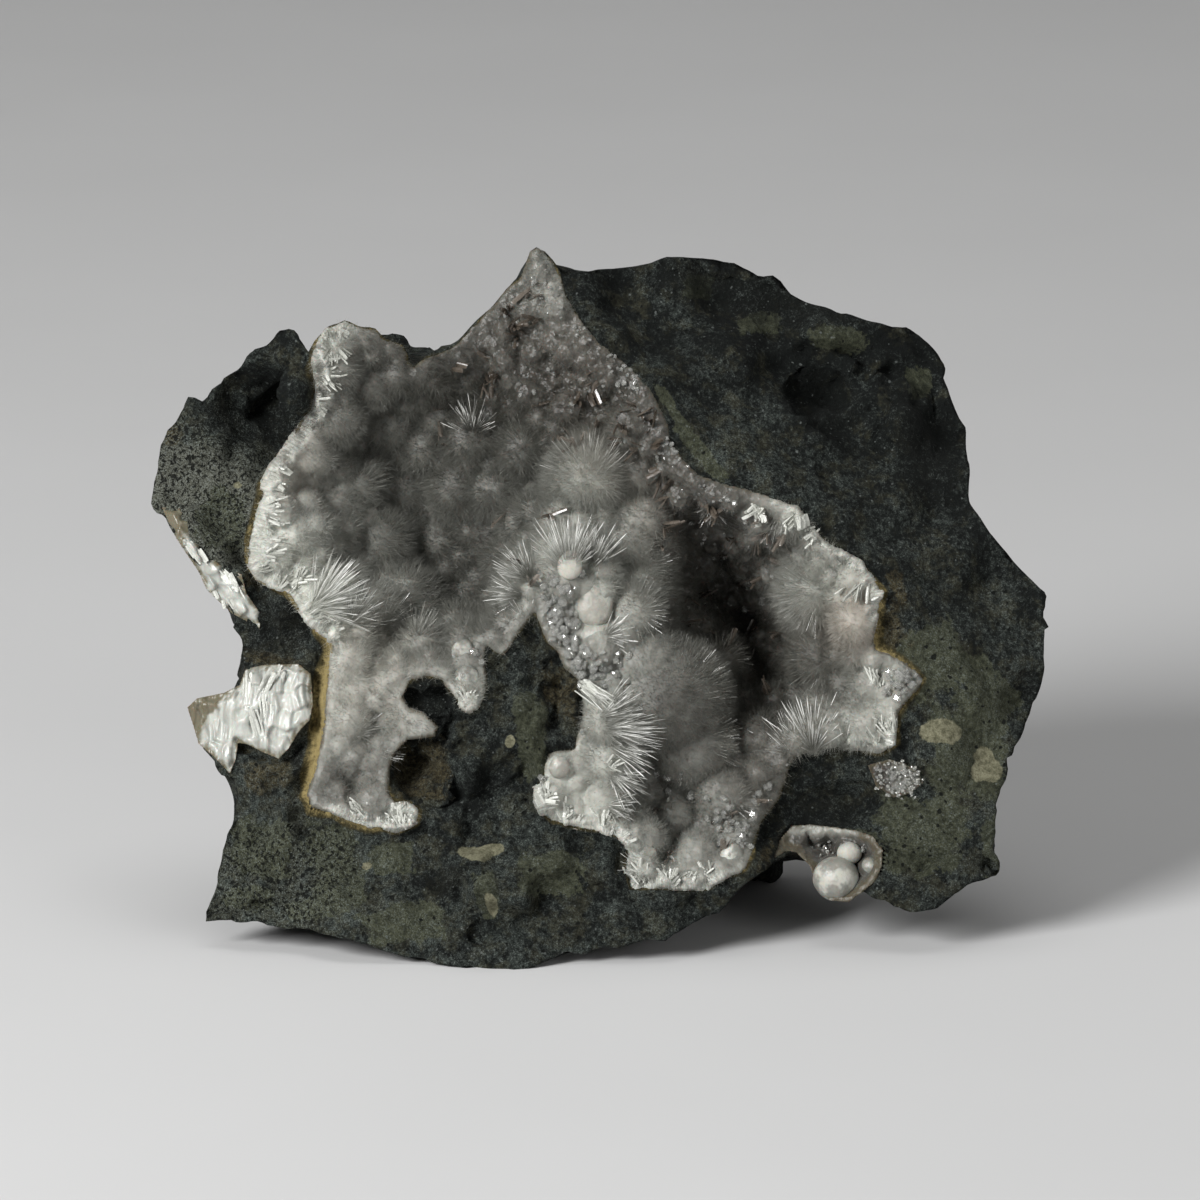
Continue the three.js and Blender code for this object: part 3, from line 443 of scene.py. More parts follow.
for t in np.linspace(0, 1, back_rings + 1)[1:]:
    width = np.interp(t, side_steps, [1, 1, 0.97, 0.9, 0.72, 0.03])
    backward = np.interp(t, side_steps, [0, 0.25, 0.6, 0.85, 1, 1])
    places = block_heart + width * (evened(edge_points, 26 * t) - block_heart)
    back = (back_distance - places[:, 1] * np.sin(face_lean)) / np.cos(face_lean)
    ring_places.append(places)
    ring_depths.append(edge_depth + (back - edge_depth) * backward)
places = np.stack(ring_places)
depths = np.vstack([face_depths, np.stack(ring_depths)])
shape = np.dstack([places, depths])
middle = np.array([*block_heart, 12])
from_middle = shape[face_rings:] - middle
for way, distance in break_planes:
    way = np.array(way) / np.linalg.norm(way)
    over = np.clip(from_middle @ way - distance, 0, None)
    from_middle -= over[..., None] * way
shape[face_rings:] = from_middle + middle
block = standing(*np.moveaxis(shape, -1, 0)) * 1000
outward = np.cross(np.roll(block, -1, 1) - np.roll(block, 1, 1), np.gradient(block, axis=0))
outward /= np.linalg.norm(outward, axis=-1, keepdims=True) + 1e-9
if outward[face_rings // 2, :, 1].mean() > 0:
    outward = -outward
bent = block + 1.2 * np.stack([lumpy(block, 4, seed, 2) for seed in (31, 34, 37)], -1)
rough = np.ones(shape.shape[:2])
rough[:face_rings] = marked(rough_marks, face_places)
relief = rough * (0.4 * facets(bent, 9, 5) + 0.42 * facets(bent, 3.4, 9)) - 0.4
relief += (0.06 + 0.44 * rough) * lumpy(block, 5, 3, 4) + (0.03 + 0.24 * rough) * lumpy(block, 1.7, 7, 2)
# the sides just behind the face stay under its outline
sides = relief[face_rings:face_rings + side_rings]
sides -= 0.85 * np.clip(sides + 0.25, 0, None)
bare = np.ones(shape.shape[:2])
bare[:face_rings] = 1 - step_between(-0.6, 0.2, face_inside)
for outline in (pocket_outline, vein_outline, fibre_outline, ledge_outline):
    bare[:face_rings] *= 1 - step_between(-0.8, 0.2, rim_distance(outline, face_places)[0])
edge_calm = np.ones(len(shape))
edge_calm[face_rings - calm_rings:face_rings] = 0.3
block += outward * (relief * bare * edge_calm[:, None])[..., None]
block[..., 2] = np.maximum(block[..., 2], 0)

# patches of colour on the bare face, where their mark is above 0: across, up, half width, half height, turn
patches = {
    "olive": [
        (-33, 13, 3.5, 6, 10), (41.4, 38.6, 4.8, 4.4, 24), (46.6, 37.4, 2.4, 2.2, 0),
        (48, 33, 4.5, 3, 20), (40, 17, 6, 5, 0), (9, 70, 4, 0.8, -57), (12.6, 64.4, 4.5, 1, -50),
        (-8.5, 29, 1.8, 6, 10), (-14, 9.5, 1.3, 3, 10), (46, 27, 5, 6, 0), (-47, 56, 3, 4, 0),
        (20, 81.3, 3, 1.2, 15), (-26, 14, 3, 2, 0), (-44, 9, 3, 1.6, 0), (-36, 7.5, 3, 1.4, 0),
        (12.5, 85.5, 2, 1.6, 0), (30, 79, 4, 1.5, -10), (40, 73.5, 1.5, 2, 0), (-42, 15, 4, 4, 0),
        (-24, 6, 5, 2.5, 10), (36, 33, 2, 3, 0), (31, 16.4, 4, 1, 0), (50, 15, 2.5, 5, 0),
        (-6, 12, 4, 3, 0),
    ],
    "buff": [
        (42.1, 29.8, 2.5, 1.5, 8), (43.4, 29.4, 1.6, 1.3, 0), (47.6, 26.4, 1.3, 1.4, 0),
        (48.6, 24.8, 1.5, 1.5, 0), (47, 24.6, 1, 1.2, 0), (-15.6, 14.6, 2.2, 1, -14),
        (-13.6, 15.2, 1.9, 0.9, 12), (-11.2, 28.3, 0.6, 0.9, 0), (-29, 13, 0.7, 0.5, 0),
        (-45.5, 60.8, 0.8, 0.7, 0), (-13.4, 8.4, 0.7, 1.6, 15),
    ],
    "brown": [
        (36.3, 43, 2.2, 3.6, 0), (-53.5, 67.5, 1.8, 1.6, 0), (-42, 24.5, 4, 3, 0),
        (-22.5, 25, 4.6, 4.6, 0), (-41, 38.6, 4, 1.2, 0), (-5, 34, 2.4, 5, 0), (-43.5, 48, 1.4, 1.4, 0),
        (37, 48, 1.2, 3, 20), (-50.5, 33.5, 1.6, 1.2, 0), (-37, 22, 2.5, 1.5, 0), (20.5, 14, 1, 3, -30),
    ],
    # painted shade: dark patches where the rock lies in shadow, in hollows, under ledges and on faces turned
    # from the light
    "shade": [
        (-44.5, 69.5, 6.5, 5, 25), (-19, 11, 2.4, 2.6, 0), (48.5, 12.8, 1.2, 1.2, 0), (28, 71, 5, 3.4, 0),
        (-40.5, 42.5, 5, 4, 0), (-21.5, 34, 2.6, 3, 0), (20, 85, 14, 4, -10), (28, 19.5, 5, 2.5, 0),
        (40, 66, 4, 8, 20), (-37.5, 25, 1, 4, 10),
    ],
}
grid = shape.shape[:2]
block_marks = {"pale": np.full(grid, 0.3), "rind": np.full(grid, -9.0)}
block_marks["pale"][:face_rings] = marked(pale_tone_and_light_marks, face_places)
for kind, entries in patches.items():
    field = np.full(grid, -1.0)
    power = 4 if kind == "olive" else 2
    for x, y, wide, high, turn in entries:
        cosine, sine = np.cos(np.radians(turn)), np.sin(np.radians(turn))
        right, up = shape[..., 0] - x, shape[..., 1] - y
        far = np.abs((cosine * right + sine * up) / wide) ** power
        far = far + np.abs((cosine * up - sine * right) / high) ** power
        field = np.maximum(field, 1 - far ** (1 / power))
    field[face_rings:] = -1
    block_marks[kind] = np.clip(field, -1, 1)
# the honey-coloured rind round the hollow is above 0 as far as it is wide: across, up, width
rind_marks = np.array([
    (-34, 41, 1.2), (-35, 36, 2), (-35, 30, 2.1), (-36, 24, 1.8), (-36, 20, 0.9), (-30, 17.5, 0.5),
    (-24, 17, 0.3), (-38, 44, 0.7), (-43, 48, 0.8), (-44, 54, 0.6), (-42.5, 62, 0.4), (-38, 69, 0.2),
    (-36, 76, 0.5), (-30, 81, 0.3), (-16, 80, 0), (-8, 89, 0.3), (-3, 83, -0.1), (4, 76, -0.3),
    (9, 66, -0.3), (15, 61, -0.1), (25, 58, -0.3), (32, 52, -0.2), (36, 46, 0.7), (34.5, 42, 1.4),
    (38, 39, 0.6), (41, 36, 0.3), (37.5, 31, 0.6), (36, 27, 0.5), (28, 27, 0), (22, 20, 0.2),
    (19, 13, 0.4), (14, 10, 0), (3, 11, -0.1), (-4, 17, 0.1), (-8, 21, -0.1), (-3, 32, 0), (-8, 43, 0.1),
    (-12, 39, 0), (-18, 33, 0), (-24, 35, 0.1), (-21, 30, 0.1), (-26, 24, 0.2),
])
block_marks["rind"][:face_rings] = face_inside + marked(rind_marks, face_places)
poles = np.stack([block[0].mean(0), block[-1].mean(0)])
count = shape.shape[0] * around
caps = [np.stack([np.full(around, count), np.arange(around), np.roll(np.arange(around), -1)], -1)]
last = count - around + np.arange(around)
caps.append(np.stack([np.full(around, count + 1), np.roll(last, -1), last], -1))
sheet = net(shape.shape[0], around)
stone = mesh_piece("basalt_block", np.vstack([block.reshape(-1, 3), poles]) / 1000, [sheet[:, ::-1], *caps],
                   {k: np.r_[v.ravel(), v[0, 0], v[-1, 0]] for k, v in block_marks.items()})
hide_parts("basalt_matrix")
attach(stone, "root")

basalt, shade, shader = material("basalt_broken", {"Specular IOR Level": 0.18})
cloud, fine, grit = shade.noise(4.5, 5, 0.7), shade.noise(0.7, 5, 0.8), shade.noise(0.2, 3, 0.85)
wobble = (shade.noise(2.6, 5, 0.7) - 0.5) * 2.4
ragged_edge = (shade.noise(0.9, 4, 0.75) - 0.5) * 1.5
# the pale mark carries painted light and shade as well as the rock's own tone
tone = shade.mark("pale") + (cloud - 0.5) * 2.2 + (fine - 0.5) * 3
colour = tone.ramp(0.0, 1.4).tint((0.0035, 0.0047, 0.0042), (0.064, 0.077, 0.068))
earthy = (shade.noise(3, 5, 0.7) + shade.mark("pale") * 0.18).ramp(0.52, 0.68)
colour = (earthy * 0.6).tint(colour, fine.ramp(0.3, 0.7).tint((0.011, 0.0105, 0.006), (0.08, 0.077, 0.046)))
# paler speckle on the left lobe: partly its own pale grey, partly painted light and glints
lobe = (shade.mark("pale") - 0.95).ramp(0.0, 0.6) * grit.ramp(0.4, 0.6)
colour = (lobe * 0.8).tint(colour, (0.2, 0.2, 0.165))
olive = (shade.mark("olive") + wobble * 0.7 + ragged_edge * 0.4).ramp(-0.02, 0.12)
colour = (olive * 0.88).tint(colour, fine.ramp(0.3, 0.7).tint((0.026, 0.029, 0.017), (0.1, 0.107, 0.066)))
brown = (shade.mark("brown") * 0.8 + wobble * 1.3).ramp(-0.05, 0.5)
colour = (brown * 0.85).tint(colour, fine.ramp(0.35, 0.65).tint((0.009, 0.007, 0.003), (0.1, 0.082, 0.04)))
shadow = (shade.mark("shade") + wobble * 0.6).ramp(-0.2, 0.5)
colour = (shadow * 0.75).tint(colour, (0.004, 0.005, 0.004))
# pale grains: partly the rock's own light crystals, partly painted glints
grains = tone.ramp(-0.1, 1.1).tint((0.009, 0.012, 0.011), (0.22, 0.25, 0.23))
colour = (grit.ramp(0.5, 0.64) * 0.75).tint(colour, grains)
colour = (grit.ramp(0.47, 0.33) * 0.75).tint(colour, (0.003, 0.004, 0.003))
# painted glints: small pale flecks scattered over the rock
specks = (shade.seeds(0.8) + shade.seeds(0.8, 1) * -0.5).ramp(-0.2, -0.3)
colour = (specks * 0.5).tint(colour, (0.2, 0.22, 0.21))
# painted shade: small voids painted near black, with dark dots on the pale rock
pores = (shade.seeds(1.1) + shade.seeds(1.1, 1) * -0.5).ramp(-0.12, -0.19)
dots = shade.noise(0.5, 2, 0.6).ramp(0.47, 0.38) * shade.mark("pale").ramp(0.55, 0.85)
pores = shade.maths("MAXIMUM", pores, dots)
colour = (pores * 0.9).tint(colour, (0.003, 0.004, 0.003))
buff = (shade.mark("buff") + ragged_edge * 0.35 + wobble * 0.2).ramp(-0.08, 0.08)
colour = buff.tint(colour, fine.ramp(0.3, 0.7).tint((0.085, 0.082, 0.048), (0.3, 0.29, 0.195)))
rim = (shade.mark("rind") + wobble * 0.4).ramp(0.0, 0.35)
honey = (fine + (shade.mark("rind") - 0.9) * 0.25).ramp(0.3, 0.7)
honey = honey.tint((0.05, 0.042, 0.018), (0.42, 0.33, 0.14))
colour = (rim * 0.92).tint(colour, honey)
height = fine * 0.6 + cloud * 0.3 + grit * 0.17 - pores * 0.3
feed(shader, colour=colour, roughness=fine * -0.4 + 1.0, normal=shade.bump(height))
stone.data.materials.append(basalt)


# The lining of the hollow: thomsonite balls grown together into a pale crust two to three millimetres thick,
# white at the rims and the crest, grey in the left chamber, brownish under the peak and in the right chamber;
# the grey and the brown are partly painted shade.
# balls that stand out of the crust: across, up, radius
vug_balls = [
    (-40.5, 61.5, 2.2), (-40.5, 57, 2.6), (-41, 51.8, 2.6), (-37.5, 48.5, 2.3), (-34, 45.5, 2.6),
    (-31, 38.5, 2.4), (-36, 64, 2.8), (-33, 69, 3.4), (-33, 75, 3), (-28.5, 73.5, 3.4),
    (-26.5, 68.5, 3.8), (-25, 60, 4.4), (-22, 65.5, 3.4), (-17.5, 60.5, 4.2), (-20, 69, 2.6),
    (-28, 53.5, 4), (-20, 53.5, 4.4), (-29, 45, 3), (-24.5, 46.5, 3.4), (-17, 46, 3.2), (-22, 40, 3),
    (-31, 31, 2.6), (-30.5, 26, 2.8), (-28, 21, 2.4), (-16, 66.5, 3.6), (-9.5, 65, 3.6), (-13, 60, 3.2),
    (-9.5, 56, 3), (-8, 77, 2), (-4, 70, 2.4), (4, 67.5, 3), (-1.5, 61.5, 4.6), (5, 62, 3),
    (5.5, 56, 3.4), (6, 50, 3.4), (4.5, 44.5, 3.4), (8.5, 33.6, 8), (6, 37.5, 5.5), (11, 28.5, 6),
    (15.5, 21.5, 3.6), (11.5, 25, 3.4), (9.5, 19, 3), (12, 14, 3.2), (5.5, 12.6, 2), (6, 16.5, 2.2),
    (26.8, 47, 4.2), (28, 38.5, 4), (32, 43.3, 3.2), (24, 55.8, 2), (20.2, 55.6, 1.8), (34, 35.5, 2.6),
    (4, 53, 3.2), (5.2, 47.2, 3.4), (7, 53.4, 2.8), (7.4, 46.6, 2.4), (3, 41.5, 3), (33.5, 30.5, 2.6),
    (15, 38.5, 3.4), (14, 29, 3), (-9, 50, 2.2), (-11, 46, 2.2), (1, 31, 3.4), (1.5, 26, 3.2),
    (0.5, 21, 2.6), (-6.4, 21.6, 2), (-5, 25.2, 1.6), (29, 30, 2.2), (37.4, 36.5, 1.4), (31.5, 48.5, 2.2),
    (-4, 48, 2.4), (0, 40, 2.4), (-16.5, 38.5, 2), (-16.6, 35, 2), (20, 29, 3), (-12, 76, 1.8),
    (-4, 77, 2), (1, 74, 1.9), (-9, 72, 1.9), (-16, 75, 1.7), (-5, 82.5, 1.5), (-12, 80, 1.6),
    (17.6, 35.5, 2.6), (22, 33, 2.4), (12.4, 43, 2), (24.6, 41.5, 2.2), (31, 46.2, 2.6), (12.5, 55, 1.8),
    (17, 53, 1.6),
]
# how dark the lining is by place, from 0 for white: partly its own brown and partly painted shade in the
# chambers, deep hollows and under the peak: across, up, strength
dim_brown_and_shade_marks = np.array([
    (-42, 61, 0.3), (-42.5, 56, 0.15), (-41.5, 51, 0.15), (-38, 48, 0), (-34, 45, 0.05), (-31, 43, 0.35),
    (-34, 78.5, 0.4), (-34, 74, 0.72), (-29, 77, 0.84), (-25, 74, 0.9), (-38, 66, 0.66), (-33, 70, 0.82),
    (-30, 66, 0.82), (-26, 62, 0.76), (-22, 66, 0.84), (-18, 60, 0.84), (-26, 56, 0.83), (-31, 52, 0.74),
    (-20, 50, 0.88), (-15, 52, 0.86), (-28, 46, 0.6), (-24, 42, 0.66), (-20, 40, 0.76), (-16, 44, 0.86),
    (-36, 58, 0.68), (-31, 40, 0.5), (-31, 36, 0.45), (-32.5, 30, 0.5), (-28, 32, 0.62), (-28, 27, 0.8),
    (-31, 24, 0.88), (-28, 20, 0.76), (-24, 18.5, 0.74), (-17, 38, 0.66), (-17, 34, 0.5), (-20, 75, 0.95),
    (-14, 78, 0.95), (-12, 82, 0.9), (-8, 87, 0.8), (-7.2, 83.6, 0.64), (-9.5, 81.5, 0.95),
    (-5, 80, 0.88), (-8, 76, 0.96), (-12, 72, 0.97), (-4, 74, 0.94), (0, 74, 0.95), (-6, 70, 0.96),
    (3, 70, 0.94), (7, 66, 0.96), (-1, 62, 0.42), (-1, 58, 0.55), (-9, 66, 0.86), (-12, 62, 0.82),
    (-9, 58, 0.84), (-4, 52, 0.4), (0, 48, 0.5), (-8, 48, 0.5), (-4.4, 43, 0.8), (-6, 46.5, 0.78),
    (-2.6, 38.6, 0.8), (0, 37.4, 0.78), (0.4, 42, 0.4), (5, 55, 0.64), (5.5, 50, 0.6), (4, 44, 0.6),
    (6, 40, 0.74), (0, 35, 0.35), (2, 31, 0.52), (1, 26, 0.5), (0, 21, 0.45), (-5, 22, 0.3),
    (8, 34, 0.97), (9, 29, 0.95), (7, 24, 0.86), (12, 24, 0.76), (12, 20, 0.76), (16, 20, 0.72),
    (15, 15, 0.72), (12, 13, 0.66), (6, 13, 0.5), (8, 17, 0.76), (10, 64, 0.93), (12, 60, 0.95),
    (17, 58, 0.94), (10, 55, 0.96), (10, 49, 0.95), (9.5, 44, 0.95), (14, 52, 0.98), (18, 50, 0.99),
    (16, 45, 0.98), (20, 42, 0.99), (14, 39, 0.88), (18, 34, 0.94), (22, 38, 0.97), (15, 35, 0.88),
    (21, 57.5, 0.66), (24, 56.5, 0.5), (27, 47.5, 0.42), (25.6, 49.4, 0.5), (22, 52, 0.96), (30, 50, 0.5),
    (31, 43.5, 0.5), (33.5, 47, 0.45), (27, 38, 0.88), (30, 35, 0.82), (34.5, 36, 0.5), (34.5, 31, 0.42),
    (37, 36.5, 0.7), (30, 30, 0.5), (26, 29, 0.55), (22, 27, 0.84), (20, 31, 0.94), (19, 24, 0.86),
])
pink_marks = np.array([
    (-41, 61, 0.5), (-31, 38, 0.4), (-31, 41, 0.4), (-0.5, 44, 0.2), (31, 43, 0.8), (27, 36, 0.3),
    (21, 25, 0.4), (-10, 78, 0.5), (-2, 74, 0.7), (3, 71, 0.5), (-14, 72, 0.3), (10, 60, 0.5),
    (5, 66, 0.4), (-26, 60, 0), (-20, 50, 0), (8, 33, 0.05), (-4, 52, 0), (-41, 54, 0), (26, 48, 0.15),
    (2, 30, 0), (12, 14, 0), (-8, 86, 0.2), (18, 44, 0.4), (33, 32, 0.1), (-29, 22, 0.2), (-34, 46, 0),
    (-12, 60, 0), (36, 33, 0),
])
# how knobby the crust is by place, from 0 for velvet: across, up, strength
knob_marks = np.array([
    (-26, 60, 0), (-33, 70, 0), (-20, 50, 0), (-28, 45, 0.1), (-40, 56, 0.5), (-10, 78, 1), (-2, 74, 1),
    (5, 68, 0.8), (-1, 62, 0), (5, 50, 0), (-4, 50, 0.2), (-3, 42, 1), (1, 32, 0.3), (8, 33, 0),
    (12, 20, 0.4), (8, 13, 0.5), (18, 46, 0.9), (12, 60, 0.9), (26, 47, 0), (32, 44, 0.3), (28, 38, 0.1),
    (34, 31, 0.6), (-30, 32, 0.3), (-29, 21, 0.6), (-9, 66, 0.3), (37, 36, 1), (22, 28, 0.5),
    (-18, 74, 0.7),
])
bed_step = 0.36
bed_x, bed_y = np.arange(-46, 42, bed_step), np.arange(8.5, 92, bed_step)
bed_places = np.stack(np.meshgrid(bed_x, bed_y), -1)
bed_inside, bed_rim, bed_along = rim_distance(vug_outline, bed_places)
bare_bed = vug_depth(bed_places, bed_inside)


def sampled(field, places):
    """The field's value at each place, blended between the four nearest points of its grid."""
    spot = (places - np.array([bed_x[0], bed_y[0]])) / bed_step
    low = np.clip(np.floor(spot).astype(int), 0, np.array(field.shape[::-1]) - 2)
    part = np.clip(spot - low, 0, 1)
    x, y = low[..., 0], low[..., 1]
    bottom = field[y, x] * (1 - part[..., 0]) + field[y, x + 1] * part[..., 0]
    top = field[y + 1, x] * (1 - part[..., 0]) + field[y + 1, x + 1] * part[..., 0]
    return bottom * (1 - part[..., 1]) + top * part[..., 1]


def raised(bed, places, balls, sunk):
    """The bed with balls standing out of it, each sunk under the bed by a share of its radius."""
    base = bed.copy()
    for (x, y, r), share in zip(balls, sunk):
        square = r**2 - (places[..., 0] - x) ** 2 - (places[..., 1] - y) ** 2
        middle = base.ravel()[((places - np.array([x, y])) ** 2).sum(-1).argmin()] + share * r
        bed = np.minimum(bed, np.where(square > 0, middle - np.sqrt(np.clip(square, 0, None)), 99))
    return bed


def knobs(points, size, seed=0):
    """Distance to the nearest of random seeds, one in each cube, in cube sizes."""
    spot = points / size
    cell = np.floor(spot).astype(np.int64)
    nearest = np.full(points.shape[:-1], 9.0)
    for offset in np.ndindex(3, 3, 3):
        other = cell + np.array(offset) - 1
        place = other + np.stack([dice(other, seed + k) for k in (1, 2, 3)], -1)
        nearest = np.minimum(nearest, np.sqrt(((spot - place) ** 2).sum(-1)))
    return nearest


# smaller balls fill the room between the named ones
chance = np.random.default_rng(11)
filler_step = 2.7
filler_x, filler_y = np.arange(-46, 42, filler_step), np.arange(9, 92, filler_step)
filler = np.stack(np.meshgrid(filler_x, filler_y), -1).reshape(-1, 2)
filler = filler + chance.uniform(-1.1, 1.1, filler.shape)
room = sampled(bed_inside, filler)
filler, room = filler[room > 0.7], room[room > 0.7]
radius = np.minimum(chance.uniform(0.9, 2.2, len(filler)), 0.5 + 0.8 * room)
all_balls = np.vstack([np.array(vug_balls), np.column_stack([filler, radius])])
sunk = np.where(np.arange(len(all_balls)) < len(vug_balls), 0.2, 0.6)
# the floor of the left chamber is soft and even
soft_floor = step_between(-13, -17, all_balls[:, 0]) * step_between(42, 47, all_balls[:, 1])
soft_floor = soft_floor * step_between(-41, -38, all_balls[:, 0])
sunk += (0.62 - sunk) * soft_floor
bed = raised(bare_bed + 0.4, bed_places, all_balls, sunk)
bed_points = np.dstack([bed_places, bed])
knobby = marked(knob_marks, bed_places)
bed += (0.06 + 0.5 * knobby) * (knobs(bed_points, 1.1, 21) - 0.5)
bed += (0.05 + 0.12 * knobby) * lumpy(bed_points, 0.8, 22, 2) + 0.5 * lumpy(bed_points, 4, 25, 3)
bed += 0.7 * (1 - np.sqrt(1 - np.clip(1 - bed_inside / 0.9, 0, 1) ** 2))


def cell_corners(field):
    """A grid's values at the four corners of each of its cells, in order round the cell."""
    return np.stack([field[:-1, :-1], field[:-1, 1:], field[1:, 1:], field[1:, :-1]], -1)


def lining(places, inside, rim, front, thickness, step):
    """A closed crust over a square grid's cells inside an outline, their outer corners moved to its rim.

    The thickness is one number, or one for each point of the grid.
    """
    whole = cell_corners(inside > -0.8 * step).all(-1) & cell_corners(inside > 0).any(-1)
    places = np.where((inside < 0)[..., None], rim, places)
    number = np.arange(inside.size).reshape(inside.shape)
    used, cells = np.unique(cell_corners(number)[whole], return_inverse=True)
    cells = cells.reshape(-1, 4)
    place, depth = places.reshape(-1, 2)[used], front.ravel()[used]
    back = depth + (thickness + 0 * front).ravel()[used]
    points = np.vstack([standing(*place.T, depth), standing(*place.T, back)])
    sides = np.stack([cells, np.roll(cells, -1, 1)], -1).reshape(-1, 2)
    key = np.sort(sides, 1) @ np.array([len(used), 1])
    once = np.isin(key, np.unique(key)[np.unique(key, return_counts=True)[1] == 1])
    first, second = sides[once].T
    walls = np.stack([second, first, first + len(used), second + len(used)], -1)
    faces = [cells, cells[:, ::-1] + len(used), walls]
    return points, faces, np.r_[inside.ravel()[used], inside.ravel()[used] * 0 - 1], np.vstack([place, place])


# how wide the broken fibrous rim is by place: across, up, width
rim_reach = np.array([
    (-42, 60, 3), (-43.5, 54, 4.6), (-42, 49, 4.6), (-38, 46.5, 4.2), (-35, 44, 4.2), (-33, 41, 1.6),
    (-34, 34, 0.8), (-35, 27, 0.6), (-36, 21, 0.9), (-31, 18.5, 2.4), (-25, 17.3, 2.6), (-22.5, 19, 1.6),
    (-26, 23, 0.5), (-22, 30, 0.8), (-24, 34, 0.6), (-16, 32, 1.5), (-13, 39, 0.8), (-8, 43, 0.8),
    (-3, 36, 0.5), (-2.5, 31, 1.2), (-6, 27, 1), (-8, 22, 1.8), (-5, 18, 1.8), (2, 16, 1.8), (3, 12, 2.6),
    (6, 10, 3), (12, 10, 2.2), (17, 11.5, 1.4), (20, 18, 0.6), (23, 24, 0.6), (27, 27, 1), (33, 27, 2.4),
    (37, 29, 2), (37, 33, 0.8), (40, 36, 0.4), (35, 40, 0.8), (35, 46, 2), (32, 51, 2), (27, 54, 1.4),
    (24, 58, 1.6), (18, 60, 0.7), (12, 62, 0.5), (8, 68, 0.5), (3, 76, 0.5), (-3, 82, 0.6), (-7, 89, 1.2),
    (-10, 87, 0.5), (-16, 80, 0.3), (-24, 76, 0.3), (-28, 80, 0.6), (-34, 80, 2.8), (-36, 76, 3),
    (-36, 71, 2.6), (-40, 65, 2.4),
])


def rim_band(inside, places):
    """1 on the broken fibrous rim and 0 further in; none where the rim is narrow."""
    reach = marked(rim_reach, places)
    return (1 - step_between(0.6, 1.1, inside / reach)) * step_between(0.8, 2, reach)


band = rim_band(bed_inside, bed_places)
streaks = np.dstack([bed_along / 0.8, bed_inside / 6, 0 * bed_inside])
broken = np.dstack([bed_places, bed])
chipped = 0.4 * lumpy(streaks, 1, 27, 2) + 0.3 * lumpy(broken, 2.6, 28, 2)
bed += band * (chipped + 0.7 * facets(broken, 2.3, 29))

# the crust's back follows its bare bed, so a ball makes it thicker
crust_deep = np.maximum(bare_bed + crust_thickness - bed, 1)
crust_points, crust_faces, crust_inside, crust_places = lining(
    bed_places, bed_inside, bed_rim, bed, crust_deep, bed_step)
crust = mesh_piece("thomsonite_crust", crust_points, crust_faces, {
    "edge": crust_inside, "pink": marked(pink_marks, crust_places), "dim": marked(dim_brown_and_shade_marks, crust_places),
    "knob": marked(knob_marks, crust_places), "along": rim_distance(vug_outline, crust_places)[2],
    "band": rim_band(np.abs(crust_inside), crust_places)})
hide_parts("vug_crust")
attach(crust, "root")


def zeolite(name, fixed, white=(0.7, 0.705, 0.63), dark=(0.025, 0.0215, 0.0155)):
    """A pale zeolite: white, pinker and darker by the piece's marks, with faint clouds; the darkening is
    partly brown and partly painted shade.
    """
    made, shade, shader = material(name, fixed)
    cloud = shade.noise(2.4, 3, 0.6)
    colour = cloud.ramp(0.25, 0.75).tint([0.8 * part for part in white], white)
    colour = (shade.mark("pink").ramp(0.1, 1.0) * 0.6).tint(colour, (0.64, 0.53, 0.43))
    darkness = shade.mark("dim") + (shade.noise(1.7, 4, 0.7) - 0.5) * 0.3
    return made, shade, shader, darkness.tint(colour, dark)


thomsonite, shade, shader, colour = zeolite(
    "thomsonite_crust",
    {"Subsurface Weight": 0.15, "Subsurface Scale": 0.0006, "IOR": 1.52, "Sheen Weight": 0.15})
# the rim's fibres run square to the rim: noise drawn out from its edge inwards
grain = shade.node("ShaderNodeCombineXYZ", {}, {0: shade.mark("along"), 1: shade.mark("edge") * 0.14})
silk = shade.node("ShaderNodeTexNoise", {}, {"Vector": grain, "Scale": 3.6, "Detail": 4.0, "Roughness": 0.7})
sheen = silk.ramp(0.34, 0.66).tint((0.36, 0.36, 0.32), (0.68, 0.69, 0.63))
colour = (shade.mark("band") * 0.8).tint(colour, sheen)
edge = (shade.mark("edge") + (shade.noise(0.9) - 0.5) * 0.9).ramp(0.6, 0.05)
colour = (edge * (shade.mark("band") * -0.5 + 0.85)).tint(colour, (0.075, 0.062, 0.035))
height = (shade.seeds(1.1) * 0.4 + shade.noise(0.3, 2) * 0.09) * shade.mark("knob")
height = height + silk * shade.mark("band") * 0.3
roughness = shade.mark("knob") * -0.25 + shade.mark("band") * -0.2 + 0.65
feed(shader, colour=colour, roughness=roughness, normal=shade.bump(height))
crust.data.materials.append(thomsonite)


# The fur of fine natrolite on the balls: needles under a tenth of a millimetre thick and a few long, standing
# out from each ball on every side, so thick that they look like soft grey velvet.
def heading(ways):
    """Directions on the leaning face, with depth, as directions of the part's own frame."""
    return standing(*ways.T) - standing(0, 0, 0)


